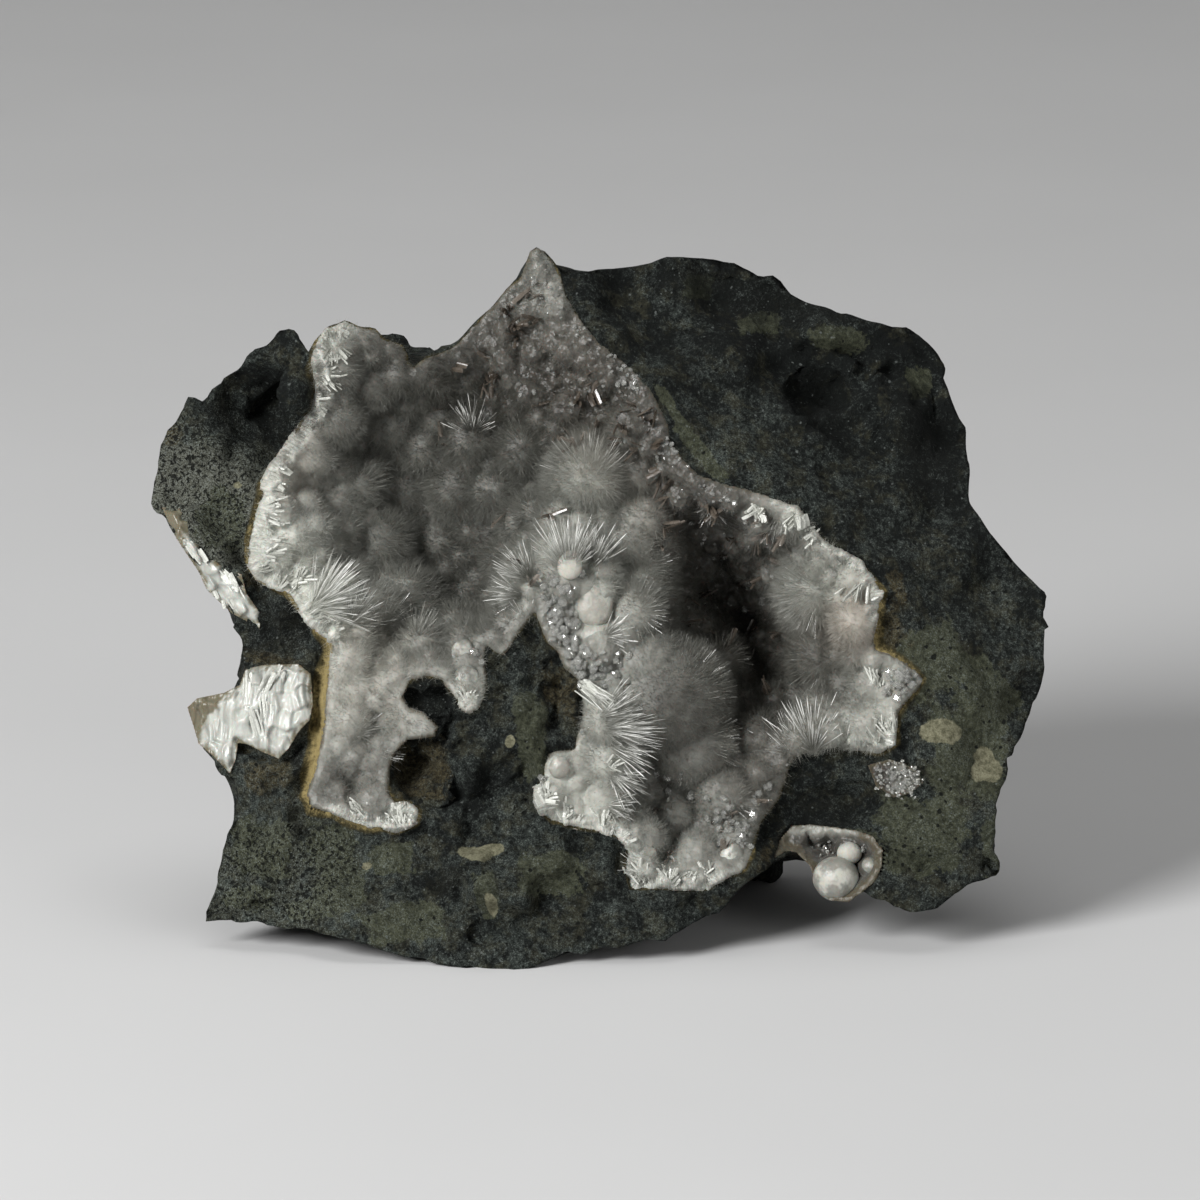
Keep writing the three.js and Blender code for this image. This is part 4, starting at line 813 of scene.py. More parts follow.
def rods(roots, ways, lengths, wide, thick, rings, sides, flat=0):
    """Joined prisms with pointed tips, each ring a share of length and width; flat ones lie in the face."""
    ways = unit(ways)
    towards = 1000 * heading(np.array([0, 0, -1]))
    aside = unit(np.cross(ways, chance.normal(size=ways.shape) + flat * towards))
    other = np.cross(ways, aside)
    turn = 2 * np.pi * np.arange(sides) / sides
    section = np.cos(turn)[None, :, None] * (aside * wide[:, None])[:, None]
    section = section + np.sin(turn)[None, :, None] * (other * thick[:, None])[:, None]
    axis = (ways * lengths[:, None])[:, None]
    loops = [roots[:, None] + axis * along + section * share for along, share in rings]
    points = np.concatenate([*loops, roots[:, None] + axis], 1)
    each = sides * len(rings) + 1
    base = np.arange(len(roots))[:, None, None] * each
    ring = np.arange(sides)
    after = np.roll(ring, -1)
    faces = [base[:, 0] + ring[::-1]]
    for k in range(len(rings) - 1):
        side = np.stack([ring, after, after + sides, ring + sides], -1) + k * sides
        faces.append((base + side).reshape(-1, 4))
    tip = np.stack([ring + each - 1 - sides, after + each - 1 - sides, np.full(sides, each - 1)], -1)
    faces.append((base + tip).reshape(-1, 3))
    return points.reshape(-1, 3), faces, each


def kept(marks, each):
    """The marks of single rods or balls, repeated for all of their points."""
    return {name: np.repeat(values, each) for name, values in marks.items()}


def place_marks(places, each, **more):
    """The lining's marks at each rod's root, kept for all of that rod's points."""
    return {**kept({"pink": marked(pink_marks, places), "dim": marked(dim_brown_and_shade_marks, places)}, each), **more}


slope_y, slope_x = np.gradient(bed, bed_step)
# how the fur grows, by place: across, up, length in mm
fur_lengths = np.array([
    (-40, 58, 0.8), (-36, 52, 1.6), (-33, 46, 2), (-30, 70, 1.5), (-26, 62, 1.9), (-20, 52, 2.2),
    (-28, 44, 2.4), (-30, 36, 1.4), (-29, 24, 1.2), (-16, 66, 2.4), (-10, 60, 2.4), (-10, 80, 0.8),
    (-2, 76, 0.7), (-1, 62, 2.6), (-5, 52, 1.6), (4, 50, 2), (0, 42, 0.6), (1, 31, 1.6), (2, 24, 1.6),
    (-5, 22, 0.8), (8, 34, 0.9), (11, 28, 0.9), (12, 22, 1.2), (12, 14, 1), (14, 58, 0.8), (18, 46, 0.9),
    (26, 47, 2.4), (28, 38, 2.2), (33, 46, 0.8), (33, 31, 1.4), (24, 29, 2), (18, 32, 1.4), (36, 36, 0.5),
    (6, 67, 1.2), (15, 39, 1.8),
])
# and the share of roots that grow a needle
fur_share = np.array([
    (-41, 58, 0.2), (-36, 50, 0.6), (-30, 70, 1), (-26, 60, 1), (-18, 52, 1), (-30, 36, 0.5),
    (-28, 22, 0.3), (-16, 64, 1), (-10, 78, 0.5), (-2, 75, 0.55), (0, 62, 1), (-4, 52, 0.5), (5, 48, 1),
    (-1, 42, 0.05), (2, 30, 0.6), (-5, 22, 0.2), (9, 34, 1), (12, 20, 0.7), (12, 13, 0.3), (14, 58, 0.3),
    (18, 40, 0.6), (18, 50, 0.35), (26, 47, 0.9), (28, 38, 0.9), (32, 43, 0.7), (34.5, 47, 0.1),
    (34, 31, 0.4), (24, 29, 0.5), (37, 36, 0.0), (6, 67, 0.4), (15, 39, 0.8),
])
natrolite_fur, shade, shader, colour = zeolite(
    "natrolite_fur", {"IOR": 1.48}, (0.7, 0.71, 0.64), (0.045, 0.044, 0.034))
feed(shader, colour=colour, roughness=shade.noise(2) * 0.2 + 0.35)
root_tries = 400000
# name, left and right end, number of needles
for name, left, right, wanted in (
    ("fur_left", -46, -14, 48000), ("fur_middle", -14, 7, 40000), ("fur_right", 7, 42, 40000),
):
    tries = np.column_stack([chance.uniform(left, right, root_tries), chance.uniform(9, 91, root_tries)])
    tries = tries[sampled(bed_inside, tries) > 0.35]
    steep = np.hypot(sampled(slope_x, tries), sampled(slope_y, tries))
    keep = chance.random(len(tries)) < marked(fur_share, tries) * np.minimum(np.hypot(1, steep), 4) / 4
    tries = tries[keep][:wanted]
    steep_x, steep_y = sampled(slope_x, tries), sampled(slope_y, tries)
    roots = standing(*tries.T, sampled(bed, tries) + 0.15)
    ways = unit(heading(np.column_stack([steep_x, steep_y, -1 + 0 * steep_x])))
    ways = ways + chance.normal(0, 0.32, ways.shape)
    lengths = marked(fur_lengths, tries) * chance.uniform(0.4, 1.0, len(tries)) ** 0.8 / 1000
    width = chance.uniform(0.016, 0.03, len(tries)) / 1000
    points, faces, each = rods(roots, ways, lengths, width, width, [(0, 1)], 3)
    fur = mesh_piece(name, points, faces, place_marks(tries, each), smooth=False)
    fur.data.materials.append(natrolite_fur)
    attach(fur, "root")


# The large natrolite sprays: clear to white square needles fanned out from one point, the brightest of them
# along the crest over the tongue of rock, at the left rim and under the right chamber. Their brightness is
# painted light: glints that grow towards each tip, and painted shade at each root.
# across, up, way on the face in degrees from across, half fan, where needles start and end, number, stoutness
sprays = [
    (-3.8, 49.4, 94, 44, 2.4, 8, 330, 1), (-1, 50, 66, 26, 2, 6.4, 130, 1),
    (-8.4, 48.4, 136, 34, 1.6, 6.2, 150, 1), (-9.4, 46.6, 172, 30, 1.4, 5.6, 110, 0.9),
    (-9, 43, 100, 34, 0.6, 4.2, 110, 1), (-10.6, 41.6, 190, 40, 0.4, 2.6, 60, 0.7),
    (-1.2, 60.6, 92, 56, 4.2, 7.2, 130, 0.5), (-16, 66.8, 95, 56, 1, 5.4, 160, 0.8),
    (-36, 45, 34, 44, 1.6, 8.6, 420, 1), (-31.4, 43, 58, 50, 1.2, 6.4, 180, 0.7),
    (-27.4, 42.4, 86, 50, 1, 6, 180, 0.5), (-23, 41, 66, 40, 0.8, 5.4, 130, 0.4),
    (-18.6, 38.6, 118, 60, 0.5, 2.6, 50, 0.4), (-1.8, 35.2, -36, 12, 0.2, 5.8, 260, 1.6),
    (-0.6, 31.2, 28, 26, 2, 6.8, 130, 1), (0.2, 30, 0, 26, 2.2, 8.4, 170, 1),
    (1, 28, -26, 26, 2, 7.2, 140, 1), (1, 24.6, -36, 34, 1.2, 6.2, 130, 0.9),
    (0.6, 20.6, -20, 50, 1, 4.6, 90, 0.7), (26.6, 27, 92, 44, 0.8, 8, 300, 1.5),
    (24.4, 26.6, 130, 36, 1, 7, 130, 1), (30.6, 27.6, 72, 44, 0.8, 5.6, 150, 1.2),
    (34, 28, 92, 50, 0.6, 4, 90, 0.7), (27.4, 47, 182, 84, 4, 6.4, 260, 0.4),
    (28.4, 38.6, 198, 80, 3.6, 5.6, 160, 0.35), (22.4, 56.6, 262, 40, 0.6, 4, 90, 0.6),
    (4.6, 50, 8, 80, 3.4, 4.9, 150, 0.35), (4.4, 44.6, 0, 74, 3.2, 4.7, 110, 0.35),
    (8.5, 33.6, 44, 34, 7.8, 8.8, 150, 0.35), (11, 28.5, 0, 30, 6, 7, 80, 0.35),
    (15, 38.5, 70, 110, 3.2, 4.4, 110, 0.25), (12, 22, 52, 80, 3.2, 4.4, 100, 0.3),
    (16, 20.6, 30, 90, 3, 4.2, 80, 0.3), (5.2, 12.6, 158, 60, 0.5, 3.4, 80, 0.6),
    (-30.4, 29.4, 24, 60, 1, 4.4, 100, 0.4), (-28, 26.8, -6, 60, 1, 4.2, 90, 0.4),
    (-31, 36, 20, 70, 1, 4.4, 90, 0.35), (-9.6, 65, 90, 110, 3.4, 5, 110, 0.3),
    (4.6, 65.4, 34, 60, 2.6, 4, 60, 0.3), (-21, 53, 90, 150, 4, 5.8, 110, 0.2),
    (-25, 60, 90, 150, 4, 5.8, 110, 0.2), (-31, 60, 60, 150, 4, 5.6, 100, 0.2),
    (-6, 22, 200, 60, 1.6, 2.6, 40, 0.5), (-25, 35.6, 60, 60, 1, 3.4, 60, 0.4),
    (14, 57.6, 250, 60, 0.6, 3, 60, 0.5), (31, 43.4, 170, 80, 2.4, 3.6, 90, 0.3),
    (2, 31.5, 60, 60, 2.4, 4, 90, 0.3), (0.4, 41.4, 14, 46, 1.4, 4.6, 110, 0.8),
]


def fanned(across, lift):
    """Directions on the face at that angle from across, lifted out of it."""
    return np.column_stack([np.cos(across) * np.cos(lift), np.sin(across) * np.cos(lift), -np.sin(lift)])


roots, ways, lengths, stout = [], [], [], []
for x, y, way, half, near, far, number, thickness in sprays:
    across = np.radians(way + half * np.clip(chance.normal(0, 0.6, number), -1.25, 1.25))
    lift = np.radians(chance.uniform(-8, 60, number))
    aim = fanned(across, lift)
    # the stoutest sprays start at the crust's surface, the others under it
    sunk = 0.2 if thickness > 1.1 else 1.2
    middle = np.array([x, y, sampled(bed, np.array([x, y])) + sunk])
    foot = near - min(near, 2.5) * chance.uniform(0.1, 0.6, number)
    roots.append(middle + aim * foot[:, None] + chance.normal(0, 0.2, (number, 3)))
    ways.append(aim + chance.normal(0, 0.035, (number, 3)))
    lengths.append(near + (far - near) * chance.uniform(0.1, 1, number) ** 0.9 - foot)
    stout.append(np.full(number, thickness))
roots, ways = np.vstack(roots), np.vstack(ways)
lengths, stout = np.concatenate(lengths), np.concatenate(stout)
# each needle's shine is its share of painted glints, most on the stout sprays; it also widens the needle
shine = chance.random(len(roots)) ** 1.8 * np.clip(1.2 * stout, 0, 1)
width = (0.014 + 0.036 * shine * np.clip(stout, 0.3, 2)) / 1000
shoulder = 0.88
points, faces, each = rods(standing(*roots.T), heading(ways), lengths / 1000, width, width,
                           [(0, 0.8), (shoulder, 1)], 3)
# painted light: each needle is near dark at its root, painted shade, and brightest at its tip, a painted
# glint
along = np.tile(np.repeat([0, shoulder, 1], [3, 3, 1]), len(roots))
glow = np.repeat(0.04 + 0.96 * shine, each) * (0.05 + 0.95 * along)
spray_marks = place_marks(roots[:, :2], each, glow=glow)
needles = mesh_piece("natrolite_sprays", points, faces, spray_marks, smooth=False)
# soft hairs fill the feet of the stout sprays
hairs_per_needle = 6
owner = np.repeat(np.flatnonzero(stout > 0.45), hairs_per_needle)
count = len(owner)
soft_ways = ways[owner] + chance.normal(0, 0.16, (count, 3))
soft_roots = roots[owner] + chance.normal(0, 0.3, (count, 3))
soft_lengths = lengths[owner] * chance.uniform(0.25, 0.7, count) / 1000
soft_width = np.full(count, 0.000014)
points, faces, each = rods(standing(*soft_roots.T), heading(soft_ways), soft_lengths, soft_width, soft_width,
                           [(0, 1)], 3)
feet = mesh_piece("spray_fur", points, faces, place_marks(soft_roots[:, :2], each), smooth=False)
feet.data.materials.append(natrolite_fur)
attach(feet, "root")
natrolite, shade, shader, colour = zeolite(
    "natrolite_needle", {"Transmission Weight": 0.1, "IOR": 1.48, "Specular IOR Level": 0.8},
    (0.66, 0.67, 0.61), (0.1, 0.098, 0.08))
colour = shade.mark("glow").ramp(0.05, 0.7).tint(colour, (0.97, 0.97, 0.93))
feed(shader, colour=colour, roughness=shade.noise(3, 2) * 0.2 + 0.1)
needles.data.materials.append(natrolite)
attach(needles, "root")


# The broken rim of the lining: blades and coarse fibres of natrolite square to the rim, silky white, longest
# at the left rim; with bunches of stouter broken crystals. Small pinkish blades of thomsonite stand on the
# dark walls under the peak and in the right chamber.
sheaf_count, blades_per_sheaf = 800, 5
rim_line = spaced(vug_outline, 9000)
rim_way = np.roll(evened(rim_line, 40), -1, 0) - np.roll(evened(rim_line, 40), 1, 0)
rim_in = unit(np.column_stack([-rim_way[:, 1], rim_way[:, 0]]))
reach = marked(rim_reach, rim_line)
sheaves = chance.integers(0, len(rim_line), sheaf_count)
sheaves = sheaves[chance.random(len(sheaves)) < np.clip((reach[sheaves] - 1) / 2.6, 0, 1)]
owner = np.repeat(np.arange(len(sheaves)), blades_per_sheaf)
shift = chance.normal(0, 26, len(owner)).astype(int)
picks = (sheaves[owner] + shift) % len(rim_line)
level = np.clip(chance.uniform(0, 1, len(sheaves))[owner] + chance.normal(0, 0.06, len(owner)), 0, 1)
start = rim_line[picks] + rim_in[picks] * (0.05 + 0.66 * level * reach[picks])[:, None]
bare_y, bare_x = np.gradient(bare_bed, bed_step)
fall = sampled(bare_x, start) * rim_in[picks][:, 0] + sampled(bare_y, start) * rim_in[picks][:, 1]
sheaf = lumpy(np.column_stack([picks / 18, 0 * level, 0 * level]), 1, 83, 2)
roots = np.column_stack([start, sampled(bed, start) + chance.uniform(0, 0.2, len(start))])
dip = np.clip(fall, -0.1, 1.3) + chance.normal(0, 0.07, len(sheaves))[owner]
ways = np.column_stack([rim_in[picks], dip])
rim_aside = np.column_stack([-rim_in[picks][:, 1], rim_in[picks][:, 0]])
ways[:, :2] += (0.5 * sheaf + chance.normal(0, 0.2, len(sheaves))[owner])[:, None] * rim_aside
lengths = reach[picks] * chance.uniform(0.3, 0.75, len(sheaves))[owner] * chance.uniform(0.75, 1, len(owner))
wide, thick = chance.uniform(0.06, 0.22, len(picks)), chance.uniform(0.03, 0.05, len(picks))
rim_set = [roots, ways, lengths, wide, thick]
# bunches of stouter crystals: across, up, way, half fan, length, number, stoutness
bunches = [
    (19.6, 57.4, 265, 60, 1.9, 16, 2), (24.4, 56.4, 250, 50, 2.2, 26, 2.4),
    (26.4, 54.6, 232, 46, 1.8, 14, 1.6), (33, 48.6, 238, 32, 4.4, 30, 1),
    (34.4, 35.4, 100, 40, 3.2, 20, 1), (34, 28.6, 80, 50, 3, 30, 1), (36, 29.4, 104, 40, 2.6, 22, 1),
    (-30, 20, 80, 70, 1.8, 22, 1.2), (-25, 18.8, 100, 66, 1.9, 24, 1.2),
    (5, 11.6, 120, 60, 2.3, 22, 1.1), (9, 11.2, 84, 56, 2, 20, 1.3), (-1.8, 35.3, -36, 8, 5, 80, 0.9),
    (-6.8, 21.2, 60, 70, 1.9, 34, 1.5), (-33.6, 78, 284, 46, 2.8, 26, 1.1),
    (-34.6, 74, 340, 50, 2.8, 26, 1.1), (0.6, 18.8, 82, 56, 2.2, 22, 1.6),
    (-4.6, 19.4, 74, 60, 2, 20, 1.8), (-41.8, 57.4, 0, 30, 2.6, 16, 1.4), (-42, 52, 8, 36, 2.8, 18, 1.5),
    (-38.4, 48, 34, 40, 3, 22, 1.4), (-41, 61.4, -8, 36, 2, 14, 1.2), (-16.6, 33.6, 80, 60, 1.6, 16, 1.2),
    (-35.6, 45, 40, 40, 3.2, 28, 1.1), (13, 11.4, 90, 60, 1.8, 16, 1.1), (0.8, 25, 20, 60, 2.2, 24, 1),
]
bunch_sets = []
for x, y, way, half, length, number, thickness in bunches:
    across = np.radians(way + half * chance.uniform(-1, 1, number))
    lift = np.radians(chance.uniform(-12, 32, number))
    aim = fanned(across, lift)
    at = np.array([x, y]) + chance.normal(0, 0.45, (number, 2))
    # the one tight bundle lies in front of the crust, the others in it
    behind = -1.2 if half < 10 else 0.2
    depth = np.minimum(sampled(bed, at), marked(face_marks, at)) + behind
    bunch_sets.append([
        np.column_stack([at, depth]), aim, length * chance.uniform(0.5, 1, number),
        thickness * chance.uniform(0.08, 0.22, number), thickness * chance.uniform(0.06, 0.14, number)])
bunch_set = [np.concatenate(parts) for parts in zip(*bunch_sets)]
silky, shade, shader = material("natrolite_blade", {"IOR": 1.48, "Specular IOR Level": 0.8})
# each blade's brightness: partly its own tone, partly painted glints on its silky faces
colour = shade.mark("glow").tint((0.34, 0.345, 0.305), (0.76, 0.77, 0.71))
height = shade.noise(0.2, 2) * 0.1
feed(shader, colour=colour, roughness=shade.noise(1) * 0.3 + 0.1, normal=shade.bump(height))


def blades(name, roots, ways, lengths, wide, thick, surface, slot, flat=0, **marks):
    """One piece of four-sided blades with blunt ends; sizes in millimetres on the leaning face."""
    points, faces, each = rods(standing(*roots.T), heading(ways), lengths / 1000, wide / 1000, thick / 1000,
                               [(0, 0.85), (0.5, 1), (0.95, 0.85)], 4, flat)
    piece = mesh_piece(name, points, faces, kept(marks, each), smooth=False)
    piece.data.materials.append(surface)
    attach(piece, "root")


rim_glow = 0.4 + 0.3 * sheaf + chance.normal(0, 0.16, len(sheaves))[owner]
rim_glow = rim_glow + chance.normal(0, 0.06, len(picks))
blades("rim_fibres", *rim_set, silky, "zeolite_fibres", flat=4, glow=np.clip(rim_glow, 0, 1))
blades("rim_crystals", *bunch_set, silky, "zeolite_fibres", glow=chance.random(len(bunch_set[0])))
# blades on the walls, in small tufts
wall_share = np.array([
    (-12, 80, 1), (-6, 76, 1), (-14, 74, 1), (2, 73, 1), (-8, 86, 0.8), (-20, 74, 0.8), (-6, 70, 0.9),
    (8, 66, 0.9), (12, 59, 1), (10, 52, 0.8), (12, 46, 0.8), (18, 48, 1), (22, 40, 0.8), (18, 34, 0.8),
    (22, 54, 1), (-26, 62, 0), (-20, 48, 0), (-33, 70, 0), (-1, 60, 0), (4, 50, 0), (-3, 42, 0.1),
    (2, 30, 0), (8, 34, 0), (12, 20, 0.2), (26, 47, 0.1), (30, 40, 0.2), (33, 31, 0.2), (-30, 30, 0),
    (21, 26, 0.2), (-12, 64, 0.1), (34, 44, 0.2), (16, 17, 0.5), (5, 42, 0), (10, 42, 0.1), (14, 35, 0),
    (15, 31, 0),
])
tuft_tries, blades_per_tuft = 9000, 4
tufts = np.column_stack([chance.uniform(-26, 36, tuft_tries), chance.uniform(12, 89, tuft_tries)])
tufts = tufts[sampled(bed_inside, tufts) > 1.8]
tufts = tufts[chance.random(len(tufts)) < 0.075 * marked(wall_share, tufts) ** 1.5]
tuft_way = unit(np.column_stack([sampled(slope_x, tufts), sampled(slope_y, tufts), -np.ones(len(tufts))]))
tuft_way = tuft_way + chance.normal(0, 0.5, tuft_way.shape)
owner = np.repeat(np.arange(len(tufts)), blades_per_tuft)
at = tufts[owner] + chance.normal(0, 0.22, (len(owner), 2))
count = len(owner)
wall_set = [
    np.column_stack([at, sampled(bed, at) + 0.1]), tuft_way[owner] + chance.normal(0, 0.35, (count, 3)),
    chance.uniform(1, 2.9, count), chance.uniform(0.12, 0.34, count), chance.uniform(0.05, 0.1, count)]
pinkish, shade, shader, colour = zeolite(
    "thomsonite_blade", {"Transmission Weight": 0.3, "IOR": 1.52, "Specular IOR Level": 0.8},
    (0.62, 0.56, 0.49), (0.085, 0.066, 0.048))
feed(shader, colour=colour, roughness=shade.noise(1) * 0.3 + 0.1)
blades("wall_blades", *wall_set, pinkish, "zeolite_crust",
       pink=marked(pink_marks, at), dim=marked(dim_brown_and_shade_marks, at))


# Smooth single balls of thomsonite, cream to faintly pink, on the crest and down the right leg of the lining,
# with clear ones at the left of the tongue.
# across, up, half width, half height, pink, dim
single_balls = [
    (-3.7, 50.3, 1.5, 1.9, 0, 0.2), (0.3, 49.5, 1.8, 1.7, 0, 0.66), (-0.8, 45.6, 2.5, 2.8, 0.35, 0.46),
    (-0.5, 41.5, 2.7, 2, 0.3, 0.52), (-8.2, 49.2, 1.7, 1.5, 0, 0.55), (-6.4, 48.2, 1.3, 1.1, 0, 0.4),
    (-17, 39.5, 1.5, 1.5, 0, 0.76), (-16.6, 36.2, 1.6, 2.1, 0, 0.76), (-5, 25.2, 1.4, 1.4, 0, 0.6),
    (5.4, 14.4, 1.5, 1.4, 0, 0.66), (9.4, 13.4, 1.5, 1.7, 0, 0.76), (16.5, 14, 1.5, 1.8, 0, 0.75),
]


def round_balls(name, middles, halves, uneven, marks):
    """Joined egg shapes, each a little uneven, from rings of latitude with closed poles; in millimetres."""
    rows, columns = 20, 32
    tilt = np.pi * np.arange(1, rows) / rows
    turn = 2 * np.pi * np.arange(columns) / columns
    belt = np.stack([np.outer(np.sin(tilt), np.cos(turn)), np.outer(np.sin(tilt), np.sin(turn)),
                     np.outer(-np.cos(tilt), np.ones(columns))], -1).reshape(-1, 3)
    sphere = np.vstack([belt, [(0, 0, -1), (0, 0, 1)]])
    each = len(sphere)
    points = middles[:, None] + sphere * halves[:, None]
    points += (uneven * halves)[:, None] * sphere * lumpy(points, 2.4, 71, 3)[..., None]
    ring, after = np.arange(columns), np.roll(np.arange(columns), -1)
    last = (rows - 2) * columns
    front = np.stack([np.full(columns, each - 2), ring, after], -1)
    back = np.stack([np.full(columns, each - 1), last + after, last + ring], -1)
    base = np.arange(len(middles))[:, None, None] * each
    parts = (net(rows - 1, columns)[:, ::-1], front, back)
    faces = [(base + part).reshape(-1, part.shape[1]) for part in parts]
    return mesh_piece(name, standing(*points.reshape(-1, 3).T), faces, kept(marks, each))


entries = np.array(single_balls)
middles = np.column_stack([entries[:, :2], sampled(bed, entries[:, :2]) + 0.5 * entries[:, 2]])
# the first stands out in front of the crest's spray, and the fourth is half hidden
middles[[0, 3], 2] += (-2.6, 0.9)
halves = np.column_stack([entries[:, 2], entries[:, 3], 0.62 * entries[:, 2]])
balls = round_balls("thomsonite_balls", middles, halves, 0.2, {"pink": entries[:, 4], "dim": entries[:, 5]})
porcelain, shade, shader, colour = zeolite(
    "thomsonite_ball", {"Subsurface Weight": 0.3, "Subsurface Scale": 0.0012, "IOR": 1.52},
    (0.62, 0.61, 0.54), (0.1, 0.102, 0.09))
stain = (shade.noise(1.1, 4, 0.7).ramp(0.6, 0.74) * 0.4).tint(colour, (0.2, 0.15, 0.09))
milky = (shade.noise(3, 3, 0.6).ramp(0.48, 0.62) * shade.mark("dim")).tint(stain, (0.6, 0.6, 0.54))
feed(shader, colour=milky, roughness=shade.noise(1.2, 3) * 0.3 + 0.45 - shade.mark("dim") * 0.4,
     normal=shade.bump(shade.noise(0.35, 3, 0.6) * 0.1))
balls.data.materials.append(porcelain)
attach(balls, "root")


# Druse of small clear glassy crystals, half a millimetre to one across: down the break from the crest, in the
# corner at the right, at the foot of the right leg and in specks over the dark walls.
# across, up, spread, number
druse = [
    (-6.4, 47.4, 0.8, 16), (-4.6, 48, 0.8, 14), (-5.2, 45.6, 0.9, 22), (-4.8, 43.6, 0.9, 24),
    (-4.2, 41.4, 0.9, 24), (-3.4, 39.6, 0.9, 24), (-2, 38.2, 1, 24), (-0.4, 37.4, 1, 24),
    (1, 37.8, 1, 16), (2.4, 38.8, 0.8, 10), (16, 18, 1.4, 40), (17.6, 16, 0.8, 12), (38, 36.4, 1, 26),
    (36.6, 33.6, 0.8, 10), (26.4, 15.6, 1.2, 20), (-2.6, 30, 0.6, 8), (-7, 23.6, 0.5, 6),
    (9, 22, 1.2, 10), (-14.4, 39, 0.5, 6), (20, 21, 1, 10), (24.6, 25.6, 0.8, 8), (-9, 42.6, 0.6, 8),
    (-6, 85, 1.4, 22), (-1, 79.6, 1, 20), (4, 73, 1.2, 24), (9, 65, 1.2, 22), (14, 59.6, 1.4, 22),
    (26, 54, 1, 12), (17, 50, 5, 26), (-8, 76, 5, 34), (14, 56, 3, 20), (8, 66, 2, 24), (2, 76, 1.6, 24),
    (29.5, 50.6, 1, 16),
]
at = np.vstack([chance.normal((x, y), spread, (number, 2)) for x, y, spread, number in druse])
at = at[sampled(bed_inside, at) > 0.3]
count = len(at)
ways = np.column_stack([chance.normal(0, 1, (count, 2)), -np.ones(count)])
size = chance.uniform(0.16, 0.4, count) * np.where(at[:, 1] < 50, 1.7, 1)
lengths = size * chance.uniform(1.6, 2.4, count)
crystal_rings = [(0, 0.75), (0.3, 1), (0.75, 0.8)]
roots = standing(*at.T, sampled(bed, at) + 0.15)
points, faces, each = rods(roots, heading(ways), lengths / 1000, size / 1000,
                           size * chance.uniform(0.6, 1, count) / 1000, crystal_rings, 6)
glass = mesh_piece("clear_druse", points, faces, smooth=False)
clear, shade, shader = material("clear_druse", {"Transmission Weight": 0.8, "IOR": 1.53})
colour = shade.noise(1).tint((0.82, 0.83, 0.78), (0.96, 0.96, 0.92))
feed(shader, colour=colour, roughness=shade.noise(0.6) * 0.06)
glass.data.materials.append(clear)
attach(glass, "root")


# The vein and the block of fibres at the left edge: the broken sides of two small veins, filled with coarse
# parallel fibres of natrolite, silky white with bright faces.
def small_grid(outline, step):
    """A square grid over a small outline, with the distance to its rim and the nearest point on that."""
    low, high = outline.min(0) - 1, outline.max(0) + 1
    places = np.stack(np.meshgrid(np.arange(low[0], high[0], step), np.arange(low[1], high[1], step)), -1)
    return (places, *rim_distance(outline, places)[:2])


fibres, shade, shader, colour = zeolite(
    "natrolite_fibres", {"Subsurface Weight": 0.2, "Subsurface Scale": 0.0006, "IOR": 1.48},
    (0.54, 0.55, 0.505))
silk = shade.noise(0.5, 3, 0.7, (1, 1, 0.16))
silk = shade.mark("silk") + (silk - 0.5) * 0.5
colour = silk.ramp(0.1, 0.75).tint((0.31, 0.315, 0.285), colour)
edge = (shade.mark("edge") + (shade.noise(1.2, 3) - 0.5) * 2.4).ramp(0.8, -0.1)
colour = (edge * 0.85).tint(colour, (0.1, 0.08, 0.035))
feed(shader, colour=colour, roughness=shade.noise(0.8) * 0.4 + 0.12)


def fibre_ridges(at, way):
    """Ridges from -1 to 1 along fibres that run that way on the face and waver a little."""
    turn = np.radians(way)
    along = at @ np.array([np.cos(turn), np.sin(turn)])
    waver = 0.7 * lumpy(np.concatenate([at, 0 * at[..., :1]], -1), 5, 45, 2)
    beside = at @ np.array([-np.sin(turn), np.cos(turn)]) + waver
    return lumpy(np.stack([beside / 0.42, along / 3.4, 0 * along], -1), 1, 41, 3)


fibre_step, fibre_deep, blades_per_bundle = 0.16, 4.3, 6
